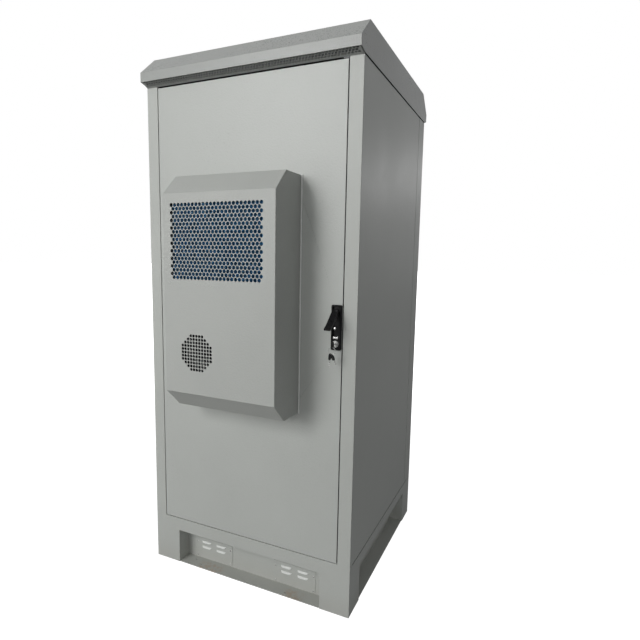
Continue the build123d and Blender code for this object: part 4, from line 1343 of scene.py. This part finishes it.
    def _coil(self, shop: Workshop, node: str, fins: int, levels: int) -> None:
        """One coil: thin fins on tubes that run through two end plates and turn back outside them.

        Args:
            shop: the workshop.
            node: the CAD coil that it stands for.
            fins: number of fins.
            levels: number of tubes in each of the two rows.
        """
        low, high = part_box(node)
        size = high - low
        inset = self.coil_inset
        plan = Pattern(
            f"{node}_fins",
            {"Fins": fins, "Width": size.x - 2 * inset, "Depth": size.y, "Height": size.z - 0.006,
             "Fin": self.fin, "Levels": levels, "Tube": self.tube, "Reach": size.x - 2 * inset + 0.004},
        )
        width, depth, height = plan.size("Width"), plan.size("Depth"), plan.size("Height")
        block = plan.vector(plan.size("Fin"), depth, height)
        fin = plan.node("GeometryNodeMeshCube", sockets={"Size": block})
        line = plan.between(plan.size("Fins"), plan.vector(width * -0.5), plan.vector(width * 0.5))
        pipe = {"Vertices": 10, "Radius": plan.size("Tube"), "Depth": plan.size("Reach")}
        tube = plan.node("GeometryNodeMeshCylinder", {}, pipe)
        laid = {"Geometry": tube, "Rotation": (0.0, math.pi / 2, 0.0)}
        across = plan.node("GeometryNodeTransform", {}, laid)
        lowest = plan.vector(0.0, depth * -self.tube_row, height * -self.tube_span)
        highest = plan.vector(0.0, depth * -self.tube_row, height * self.tube_span)
        front = plan.scattered(plan.between(plan.size("Levels"), lowest, highest), across)
        rear = plan.moved(front, plan.vector(0.0, depth * (2 * self.tube_row)))
        core = plan.joined([plan.scattered(line, fin), front, rear])
        mesh = plan.run(core, shop.palette.slots["coil_fins"])
        cheeks = [
            plate(size.y, size.z, 0.002, 0.0012, "X", (side * (size.x / 2 - inset + 0.002), 0.0, 0.0))
            for side in (-1, 1)
        ]
        span = size.z * (2 * self.tube_span)
        bend = self._bend(span / (levels - 1), size.x / 2 - inset)
        steps = [span * (k / (levels - 1) - 0.5) for k in range(0, levels - 1, 2)]
        rows = (-self.tube_row * size.y, self.tube_row * size.y)
        places = [(0.0, y, z) for y in rows for z in steps]
        bends = shop.repeated(f"{node}_bends", bend, places, "coil_fins")
        whole = turned(combined([mesh, *cheeks, bends]), Matrix.Translation((low + high) / 2))
        shop.stand_in(f"{node}_finned", whole, node)

    def _bend(self, drop: float, reach: float) -> bpy.types.Mesh:
        """A tube's return bends at both ends of a coil, from one level up to the next."""
        half = wire_ring(drop / 2, self.tube, 32, 10)
        form = bmesh.new()
        form.from_mesh(half)
        parts = form.verts[:] + form.edges[:] + form.faces[:]
        bmesh.ops.bisect_plane(
            form, geom=parts, plane_co=(0, 0, 0), plane_no=(1, 0, 0), clear_inner=True
        )
        bmesh.ops.holes_fill(form, edges=[edge for edge in form.edges if edge.is_boundary])
        half = turned(mesh_from("bend", form), FORWARD)
        right = turned(half.copy(), Matrix.Translation((reach, 0.0, drop / 2)))
        left = turned(half, Matrix.Translation((-reach, 0.0, drop / 2)) @ HALF_TURN)
        return combined([right, left])

    def _fan(self, shop: Workshop, node: str) -> None:
        """A rotor: a domed hub with cambered blades that flatten towards their tips."""
        low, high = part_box(node)
        middle = (low + high) / 2
        deep = high.y - low.y
        root = self.fan_hub * self.blade_root
        form = bmesh.new()
        rows = []
        for i in range(self.blade_steps + 1):
            out = i / self.blade_steps
            radius = root + (self.fan_reach - root) * out
            chord = self.chord[0] + (self.chord[1] - self.chord[0]) * out
            pitch = math.radians(self.blade_turn[0] + (self.blade_turn[1] - self.blade_turn[0]) * out)
            row = []
            for j in range(self.blade_steps + 1):
                along = chord * (j / self.blade_steps - 0.5)
                bow = self.camber * chord * (1 - (2 * along / chord) ** 2)
                angle = (along * math.cos(pitch) + bow * math.sin(pitch)) / radius + self.sweep * out * out
                height = along * math.sin(pitch) - bow * math.cos(pitch)
                row.append(form.verts.new((radius * math.cos(angle), radius * math.sin(angle), height)))
            rows.append(row)
        fill_rows(form, rows)
        blade = baked(walled(mesh_from("blade", form), self.blade, 0.0))
        blades = shop.wheel(f"{node}_blades", blade, self.blades, "black_plastic")
        outline = [(0.0, -0.5), (0.96, -0.5), (1.0, -0.44), (1.0, 0.34), (0.93, 0.45), (0.55, 0.5)]
        hub = lathe(scaled([*outline, (0.0, 0.5)], self.fan_hub, deep), 40)
        rotor = combined([blades, hub])
        shade(rotor)
        turned(rotor, Matrix.Translation(middle) @ FORWARD)
        shop.stand_in(f"{node}_bladed", rotor, node)

    def _compressor(self, shop: Workshop) -> None:
        """The welded can on its foot plate, and the rubber feet under it."""
        low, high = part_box("compressor")
        x, y = (low.x + high.x) / 2, (low.y + high.y) / 2
        thick = self.foot_plate
        tall = high.z - low.z - thick
        profile = [
            (0.0, 0.0), (0.80, 0.0), (0.95, 0.03), (1.0, 0.10), (1.0, 0.60), (1.03, 0.605), (1.03, 0.625),
            (1.0, 0.63), (1.0, 0.82), (0.97, 0.90), (0.86, 0.96), (0.64, 0.99), (0.0, 1.0),
        ]
        body = lathe(scaled(profile, self.can, tall), 48)
        body = turned(body, Matrix.Translation((x, y, low.z + thick)))
        foot = plate(high.x - low.x, high.y - low.y, 0.012, thick, "Z", (x, y, low.z + thick / 2))
        shop.stand_in("compressor_can", combined([body, shop.eased(foot, 0.0008)]), "compressor")
        low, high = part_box("compressor_mounts")
        radius, tall = self.foot_radius, high.z - low.z
        rib = [
            (0.0, 0.0), (1.0, 0.0), (1.0, 0.30), (0.72, 0.38),
            (0.72, 0.58), (1.0, 0.66), (1.0, 1.0), (0.0, 1.0),
        ]
        foot = lathe(scaled(rib, radius, tall), 24)
        sides, ends = (low.x + radius, high.x - radius), (low.y + radius, high.y - radius)
        corners = [(a, b, low.z) for a in sides for b in ends]
        feet = shop.repeated("compressor_feet", foot, corners, "rubber")
        shop.stand_in("compressor_mounts_ribbed", feet, "compressor_mounts")


@dataclass
class Eaves:
    """The perforated strips that close the roof's eaves from below."""

    outer: Flat = (-0.462, 1.9725)
    inner: Flat = (-0.430, 1.9585)
    half_width: float = 0.448
    sheet: float = 0.0015
    pitch: float = 0.0118
    row: float = 0.0092
    columns: int = 75
    rows: int = 3
    hole: float = 0.0046
    sides: int = 12
    shift: float = -0.0042

    def build(self, shop: Workshop) -> None:
        """Makes the front strip and turns a copy of it to the rear."""
        start, end = Vector((0.0, *self.outer)), Vector((0.0, *self.inner))
        along = (end - start).normalized()
        plan = Pattern(
            "eave_strip",
            {"Width": 2 * self.half_width, "Height": (end - start).length, "Thickness": self.sheet,
             "Columns": self.columns, "Rows": self.rows, "Pitch": self.pitch, "Row": self.row,
             "Hole": self.hole, "Sides": self.sides},
        )
        border = plan.quad(plan.size("Width"), plan.size("Height"))
        circle = plan.circle(plan.size("Hole"), plan.size("Sides"))
        counts = plan.size("Columns"), plan.size("Rows")
        holes = plan.staggered(*counts, plan.size("Pitch"), plan.size("Row"), circle)
        sheet = plan.sheet(border, [plan.moved(holes, (0.0, self.shift, 0.0))], plan.size("Thickness"))
        # The strip takes the roof's coat, which is darkened as painted shade.
        mesh = plan.run(sheet, shop.palette.slots["roof_paint"])
        up = Vector((1.0, 0.0, 0.0)).cross(along)
        frame_of_strip = Matrix(((1.0, 0.0, 0.0), along, up)).transposed().to_4x4()
        front = turned(mesh, Matrix.Translation((start + end) / 2) @ frame_of_strip)
        rear = turned(front.copy(), HALF_TURN)
        shop.stand_in("eave_strips_perforated", combined([front, rear]), "eave_strips")


@dataclass
class VentCovers:
    """The two plates with pressed louvres in the front recess, and their screws."""

    inner: float = 0.100
    outer: float = 0.287
    low: float = 0.008
    high: float = 0.097
    sheet: float = 0.0015
    louvre_x: Flat = (0.158, 0.232)
    louvre_z: Flat = (0.057, 0.080)
    louvre_half: float = 0.0235
    rise: float = 0.005
    screw_x: Flat = (0.110, 0.279)
    screw_z: Flat = (0.014, 0.076)
    screw_radius: float = 0.0038
    screw_height: float = 0.0021
    slit: float = 0.0052
    slit_inset: float = 0.004
    louvre_up: float = 0.0042
    louvre_drop: float = 0.0076
    louvre_wall: float = 0.0010

    def build(self, shop: Workshop) -> None:
        """Makes both covers and all eight screws."""
        self.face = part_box("kick_panel_front")[0].y - self.sheet
        x, y, z = (self.inner + self.outer) / 2, self.face + self.sheet, (self.low + self.high) / 2
        covers = [turned(self._plate(shop), upright(side * x, y, z)) for side in (-1, 1)]
        places = self._places(self.louvre_x, self.louvre_z)
        louvres = shop.repeated("vent_louvres", turned(self._louvre(), FORWARD), places, "frame_paint")
        shop.stand_in("vent_covers_plates", combined(covers), "vent_covers")
        # The louvres take the lighter coat as a painted highlight.
        coat = shop.palette.louvre_painted_highlight
        shop.piece("vent_covers_louvres", louvres, Body.CABINET, "frame_paint", material=coat)
        head = turned(pan_head(self.screw_radius, self.screw_height), FORWARD)
        places = self._places(self.screw_x, self.screw_z)
        screws = shop.repeated("vent_screws", head, places, "bright_steel")
        shop.stand_in("vent_screws_recessed", screws, "vent_screws")

    def _places(self, across: Flat, up: Flat) -> list[Point]:
        """Places on both covers' faces, from distances from the middle and heights."""
        return [(side * x, self.face, z) for side in (-1, 1) for x in across for z in up]

    def _plate(self, shop: Workshop) -> bpy.types.Mesh:
        """One cover's flat plate with the slits behind its louvres."""
        plan = Pattern(
            "vent_plate",
            {"Width": self.outer - self.inner, "Height": self.high - self.low, "Thickness": self.sheet,
             "Slit width": 2 * self.louvre_half - self.slit_inset, "Slit height": self.slit,
             "Across": self.louvre_x[1] - self.louvre_x[0], "Up": self.louvre_z[1] - self.louvre_z[0]},
        )
        border = plan.quad(plan.size("Width"), plan.size("Height"))
        slit = plan.quad(plan.size("Slit width"), plan.size("Slit height"))
        slits = plan.scattered(plan.grid(2, 2, plan.size("Across"), plan.size("Up")), slit)
        lift = sum(self.louvre_z) / 2 - (self.low + self.high) / 2
        sheet = plan.sheet(border, [plan.moved(slits, (0.0, lift, 0.0))], plan.size("Thickness"))
        return shop.eased(plan.run(sheet, shop.palette.slots["frame_paint"]), 0.0004)

    def _louvre(self) -> bpy.types.Mesh:
        """A pressed hood over one slit, open downwards and drawn in at its ends."""
        form = bmesh.new()
        across, down = 22, 8
        rows = []
        for i in range(across + 1):
            side = 2 * i / across - 1
            fall = math.sqrt(max(0.0, 1 - abs(side) ** 5))
            row = []
            for j in range(down + 1):
                turn = math.radians(90) * j / down
                up = self.louvre_up - self.louvre_drop * (1 - math.cos(turn)) * (0.3 + 0.7 * fall)
                out = self.rise * fall * math.sin(turn)
                row.append(form.verts.new((side * self.louvre_half, up, out)))
            rows.append(row)
        fill_rows(form, rows)
        mesh = baked(walled(mesh_from("louvre", form), self.louvre_wall, -1.0))
        shade(mesh, FOLDED_ANGLE)
        return mesh


@dataclass
class Fasteners:
    """The hexagon screws of the rear panel and of the roof's channels."""

    radius: float = 0.0065
    height: float = 0.004
    washer: float = 0.0011
    side: float = 0.380
    rear_z: tuple[float, ...] = (0.260, 0.820, 1.370, 1.900)
    channel_y: float = 0.240

    def build(self, shop: Workshop) -> None:
        """Makes every hexagon screw."""
        head = hexagon_head(self.radius, self.height, self.washer)
        rear_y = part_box("rear_panel")[1].y
        under_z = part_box("top_plate")[0].z
        sides = (-self.side, self.side)
        rear = [(x, rear_y, z) for x in sides for z in self.rear_z]
        under = [(x, y, under_z) for x in sides for y in (-self.channel_y, self.channel_y)]
        meshes = [
            shop.repeated("rear_screws", turned(head.copy(), REARWARD), rear, "bright_steel"),
            shop.repeated("channel_screws", turned(head, DOWNWARD), under, "bright_steel"),
        ]
        shop.stand_in("hexagon_screws_washered", combined(meshes), "hexagon_screws")


@dataclass
class Rack:
    """The 19-inch uprights with their square holes."""

    inner: float = 0.225
    flange: float = 0.025
    depth: float = 0.032
    lip: float = 0.012
    sheet: float = 0.002
    face: float = 0.290
    hole: float = 0.0095
    hole_x: float = 0.2325
    unit: float = 0.04445
    steps: tuple[float, float, float] = (0.00635, 0.022225, 0.0381)
    units: int = 39

    def build(self, shop: Workshop) -> None:
        """Makes the front rails and turns copies of them to the rear."""
        low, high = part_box("rack_rails")
        self.low, self.high = low.z, high.z
        front = combined([self._rail(shop, side) for side in (-1, 1)])
        rear = turned(front.copy(), HALF_TURN)
        shop.stand_in("rack_rails_punched", combined([front, rear]), "rack_rails")

    def _rail(self, shop: Workshop, side: int) -> bpy.types.Mesh:
        """One front upright: a punched flange and the folded web behind it."""
        tall = self.high - self.low
        plan = Pattern(
            "rail_flange",
            {"Width": self.flange, "Height": tall, "Thickness": self.sheet, "Hole": self.hole,
             "Holes": 3 * self.units, "Unit": self.unit, "First": self.steps[0],
             "Step": self.steps[1] - self.steps[0]},
        )
        number = plan.node("GeometryNodeInputIndex")
        level = (number / 3.0).floor()
        within = number - level * 3.0
        base = tall / 2 - (tall - self.units * self.unit) / 2
        rise = level * plan.size("Unit") + plan.size("First") + within * plan.size("Step") - base
        line = plan.heap(plan.size("Holes"))
        offset = side * (self.hole_x - self.inner - self.flange / 2)
        spots = plan.node(
            "GeometryNodeSetPosition", {}, {"Geometry": line, "Position": plan.vector(offset, rise)}
        )
        holes = plan.scattered(spots, plan.quad(plan.size("Hole"), plan.size("Hole")))
        border = plan.quad(plan.size("Width"), plan.size("Height"))
        sheet = plan.sheet(border, [holes], plan.size("Thickness"))
        flange = plan.run(sheet, shop.palette.slots["zinc_sheet"])
        middle = side * (self.inner + self.flange / 2)
        place = upright(middle, self.sheet - self.face, (self.low + self.high) / 2)
        x = self.inner + self.flange
        inside, back = x - self.sheet, self.depth - self.sheet
        web = [
            (inside, self.sheet), (x, self.sheet), (x, self.depth), (x - self.lip, self.depth),
            (x - self.lip, back), (inside, back),
        ]
        outline = [(side * a, b - self.face) for a, b in web]
        folded = shop.eased(mesh_from("web", prism(outline, self.low, self.high, "Z")), 0.0005)
        return combined([turned(flange, place), folded])


@dataclass
class SwingHandle:
    """The black swing handle: base, hub, pull lever and their pins, and the bright lock."""

    pin: Flat = (-0.4415, 1.134)
    x: float = 0.3775
    half_width: float = 0.0115
    lift: float = 50.0
    stud: Flat = (0.0050, 0.0036)
    stud_at: Flat = (0.3705, 1.0710)
    pin_hole: float = 0.00205
    neck: float = 0.00895

    EDGES = {
        "handle_base": (0.0013, 4),
        "handle_hub": (0.0005, 2),
        "lever_pin": (0.0003, 2),
        "pinion": (0.0002, 1),
        "upper_rod": (0.0003, 2),
        "lower_rod": (0.0003, 2),
        "latch_case": (0.0004, 2),
        "rod_guides": (0.0008, 2),
        "rod_keepers": (0.0004, 2),
        "lock_plug": (0.0003, 2),
        "lock_tongue": (0.0016, 4),
    }

    def build(self, shop: Workshop) -> None:
        """Makes the handle's pieces."""
        for node, (width, steps) in self.EDGES.items():
            shop.refine(node, width, steps)
        self._lever(shop)
        self._barrel(shop)
        stud = [(0.0, 0.0), (1.0, 0.0), (1.0, 0.45), (0.86, 0.78), (0.5, 0.97), (0.0, 1.0)]
        mesh = lathe([(self.stud[0] * r, self.stud[1] * z) for r, z in stud], 28)
        mesh = turned(mesh, upright(self.stud_at[0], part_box("door_panel")[0].y - 0.003, self.stud_at[1]))
        shop.piece("handle_catch_stud", mesh, Body.DOOR, "bright_steel")

    def _lever(self, shop: Workshop) -> None:
        """The lever in one smooth sweep, slotted for the hub, lifted as it stands."""
        front = smooth_line([
            (-0.0090, -0.0940), (-0.0066, -0.0780), (-0.0060, -0.0560), (-0.0072, -0.0280),
            (-0.0065, -0.0100), (-0.0048, 0.0015), (-0.0010, 0.0046), (0.0034, 0.0034),
        ])
        back = [(0.0040, -0.0030), (0.0040, -0.0868), (-0.0025, -0.0890), (-0.0025, -0.0960)]
        body = mesh_from("lever", prism([*front, *back], -self.half_width, self.half_width, "X"))
        slot = plate(0.014, 0.015, 0.0005, 0.0108, "X", (0.0, 0.0, -0.0005))
        body = carved(body, slot)
        body = carved(body, turned(rod(self.pin_hole, 0.02, 20), SIDEWAYS))
        body = shop.eased(body, 0.0013, 4, 32.0)
        lift = Matrix.Rotation(math.radians(-self.lift), 4, "X")
        body = turned(body, Matrix.Translation((self.x, *self.pin)) @ lift)
        shop.stand_in("lever_swept", body, "lever")

    def _barrel(self, shop: Workshop) -> None:
        """The lock housing: a bright stepped flange round the plug."""
        low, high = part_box("lock_barrel")
        deep, radius = high.y - low.y, (high.x - low.x) / 2
        plug = (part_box("lock_plug")[1].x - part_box("lock_plug")[0].x) / 2 + 0.00006
        outer = [
            (plug, 0.0), (self.neck, 0.0), (self.neck, deep - 0.003), (radius, deep - 0.003),
            (radius, deep - 0.0009), (radius - 0.0009, deep), (radius - 0.0026, deep),
            (radius - 0.0032, deep - 0.0006), (plug + 0.0008, deep - 0.0006), (plug, deep - 0.0012),
        ]
        form = bmesh.new()
        fill_rings(form, [[form.verts.new((*point, z)) for point in round_points(r, 48)] for r, z in outer])
        mesh = mesh_from("barrel", form)
        shade(mesh)
        middle = (low + high) / 2
        mesh = turned(mesh, upright(middle.x, high.y, middle.z))
        shop.stand_in("lock_barrel_stepped", mesh, "lock_barrel")


@dataclass
class Keys:
    """The key in the lock, its wire ring and the two spare keys on it."""

    x: float = 0.3775
    ring_radius: float = 0.013
    wire: float = 0.0008
    hole: Flat = (-0.472, 1.012)
    lock_z: float = 1.019
    eye: float = 0.0027

    SPARES = (("spare_key_left", -30, 3, 0.046), ("spare_key_right", -4, -28, 0.038))

    def build(self, shop: Workshop) -> None:
        """Makes the ring and the three keys."""
        y, z = self.hole
        ring = turned(wire_ring(self.ring_radius, self.wire), upright(self.x, y, z - self.ring_radius))
        shop.stand_in("key_ring_wire", ring, "key_ring")
        grip = self._grip(shop, (0.024, 0.022), (-0.468, self.lock_z), self.hole)
        blade = self._blade(shop, 0.023, REARWARD)
        blade = turned(blade, Matrix.Translation((0.0, -0.457, self.lock_z)))
        self._key(shop, "door_key", grip, blade, Matrix.Translation((self.x, 0.0, 0.0)))
        for node, along, lean, reach in self.SPARES:
            grip = self._grip(shop, (0.020, 0.023), (0.0, -0.009), (0.0, 0.0))
            blade = self._blade(shop, reach - 0.019, DOWNWARD)
            blade = turned(blade, Matrix.Translation((0.0, 0.0, -0.019)))
            angle = math.radians(along)
            spot = (
                self.x + self.ring_radius * math.sin(angle), y,
                z - self.ring_radius - self.ring_radius * math.cos(angle),
            )
            place = Matrix.Translation(spot) @ Matrix.Rotation(math.radians(lean), 4, "Y")
            self._key(shop, node, grip, blade, place)

    def _key(
        self, shop: Workshop, node: str, grip: bpy.types.Mesh, blade: bpy.types.Mesh, place: Matrix
    ) -> None:
        """One key: a moulded grip for the CAD node, and a bright blade that rides with it."""
        shop.stand_in(f"{node}_grip", turned(grip, place), node)
        shop.piece(f"{node}_blade", turned(blade, place), Body(BODIES[node]), "bright_steel")

    def _grip(self, shop: Workshop, size: Flat, middle: Flat, hole: Flat) -> bpy.types.Mesh:
        """A moulded grip on edge, with a round hole for the ring."""
        body = plate(*size, 0.0078, 0.0028, "X", (0.0, *middle))
        eye = turned(rod(self.eye, 0.01, 24), Matrix.Translation((0.0, *hole)) @ SIDEWAYS)
        return shop.eased(carved(body, eye), 0.0007, 3)

    def _blade(self, shop: Workshop, length: float, turn: Matrix) -> bpy.types.Mesh:
        """A blade that grows up Z from the grip, with cuts along one edge."""
        half, cut = 0.0034, 0.0016
        notches = int(length / 0.0042)
        edge = [(half, -0.0005)]
        for k in range(notches):
            foot = 0.003 + k * 0.0038
            depth = cut * (0.45 + 0.55 * ((k * 5 + 2) % 4) / 3)
            edge += [(half, foot), (half - depth, foot + 0.0011)]
            edge += [(half - depth, foot + 0.0019), (half, foot + 0.003)]
        tip = [(half * 0.3, length), (-half * 0.3, length), (-half, length - 0.002), (-half, -0.0005)]
        kept = [point for point in [*edge, *tip] if point[1] < length - 0.002 or point in tip]
        return turned(shop.eased(mesh_from("blade", prism(kept, -0.0009, 0.0009, "X")), 0.0002, 1), turn)


@dataclass
class Earthing:
    """The copper earth bar on its ribbed insulators."""

    rib: float = 0.011
    post_x: float = 0.140

    def build(self, shop: Workshop) -> None:
        """Makes the bar and the insulators."""
        shop.refine("ground_bar", 0.0006)
        low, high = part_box("ground_bar_posts")
        tall, y = high.z - low.z, (low.y + high.y) / 2
        ribs = [(0.0, 0.0), (0.96, 0.0), (1.0, 0.08)]
        for k in range(3):
            base = 0.22 + 0.24 * k
            ribs += [(1.0, base), (0.78, base + 0.05), (0.78, base + 0.13), (1.0, base + 0.18)]
        ribs += [(1.0, 0.94), (0.94, 1.0), (0.0, 1.0)]
        post = lathe([(self.rib * r, tall * z) for r, z in ribs], 28)
        places = [(x, y, low.z) for x in (-self.post_x, self.post_x)]
        posts = shop.repeated("earth_posts", post, places, "black_plastic")
        shop.stand_in("ground_bar_posts_ribbed", posts, "ground_bar_posts")


@dataclass
class Casework:
    """Sheet and bar pieces that keep their CAD form and get rounded folds and edges."""

    seal_edge: float = 0.0024
    # Thickness and span of the black sheets that stand as painted shade in the door's gaps.
    shade_lining: float = 0.0008
    shade_lining_y: Flat = (-0.4285, -0.4095)
    opening: Flat = (0.3995, 1.9599)
    strip_x: float = 0.4472
    strip_y: Flat = (-0.425, 0.425)
    strip: float = 0.0012

    EDGES = {
        "front_frame": 0.0010,
        "rear_frame": 0.0010,
        "side_panel_right": 0.0009,
        "side_panel_left": 0.0009,
        "rear_panel": 0.0010,
        "plinth_side_right": 0.0010,
        "plinth_side_left": 0.0010,
        "kick_panel_front": 0.0006,
        "kick_panel_rear": 0.0006,
        "base_flange": 0.0008,
        "roof_hood": 0.0009,
        "floor_plate": 0.0006,
        "entry_plates": 0.0006,
        "top_plate": 0.0006,
        "roof_supports": 0.0006,
        "rail_brackets": 0.0006,
        "hinge_brackets": 0.0004,
        "hinge_pins": 0.0005,
        "door_panel": 0.0012,
        "door_stiffeners": 0.0005,
        "hinge_leaves": 0.0004,
        "ac_tray": 0.0005,
        "ac_partition": 0.0005,
        "unit_brackets": 0.0004,
        "ac_base_pan": 0.0005,
        "condenser_fan_frame": 0.0008,
        "supply_fan_frame": 0.0008,
        "control_box": 0.0012,
    }

    def build(self, shop: Workshop) -> None:
        """Makes the pieces."""
        for node, width in self.EDGES.items():
            shop.refine(node, width)
        shop.refine("door_gasket", self.seal_edge, 4)
        self._gap_shade_linings(shop)
        self._side_strips(shop)

    def _side_strips(self, shop: Workshop) -> None:
        """The foam strips that close the gaps under the two side panels."""
        low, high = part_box("floor_plate")[0].z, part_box("side_panel_right")[0].z
        front, rear = self.strip_y
        y, z = (front + rear) / 2, (low + high) / 2
        parts = [
            plate(self.strip, rear - front, 0.0003, high - low, "Z", (side * self.strip_x, y, z))
            for side in (-1, 1)
        ]
        shop.piece("side_panel_strips", combined(parts), Body.CABINET, "rubber")

    def _gap_shade_linings(self, shop: Workshop) -> None:
        """Thin black sheets in the gaps over the door and at its free edge, as painted shade in the gaps.
        """
        depth, y = self.shade_lining_y[1] - self.shade_lining_y[0], sum(self.shade_lining_y) / 2
        half, high = self.opening
        over = plate(2 * half, depth, 0.0004, self.shade_lining, "Z", (0.0, y, high - self.shade_lining / 2))
        shop.piece("opening_lining", over, Body.CABINET, "rubber")
        low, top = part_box("door_panel")
        middle = (top.x + self.shade_lining / 2, y, (low.z + top.z) / 2)
        edge = plate(depth, top.z - low.z - 0.004, 0.0004, self.shade_lining, "X", middle)
        shop.piece("door_edge_lining", edge, Body.DOOR, "rubber")


def main() -> None:
    """Builds the scene in order and reports each piece."""
    logging.basicConfig(level=logging.INFO, format="%(name)s: %(message)s")
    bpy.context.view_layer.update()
    palette = Palette()
    palette.dress_nodes()
    shop = Workshop(palette)
    Studio().build()
    assemblies = (
        Casework(), Eaves(), VentCovers(), Fasteners(), Rack(), Earthing(), AirConditioner(),
        SwingHandle(), Keys(),
    )
    for assembly in assemblies:
        assembly.build(shop)
    LOG.info("%d pieces made", shop.count)


if __name__ == "__main__":
    main()
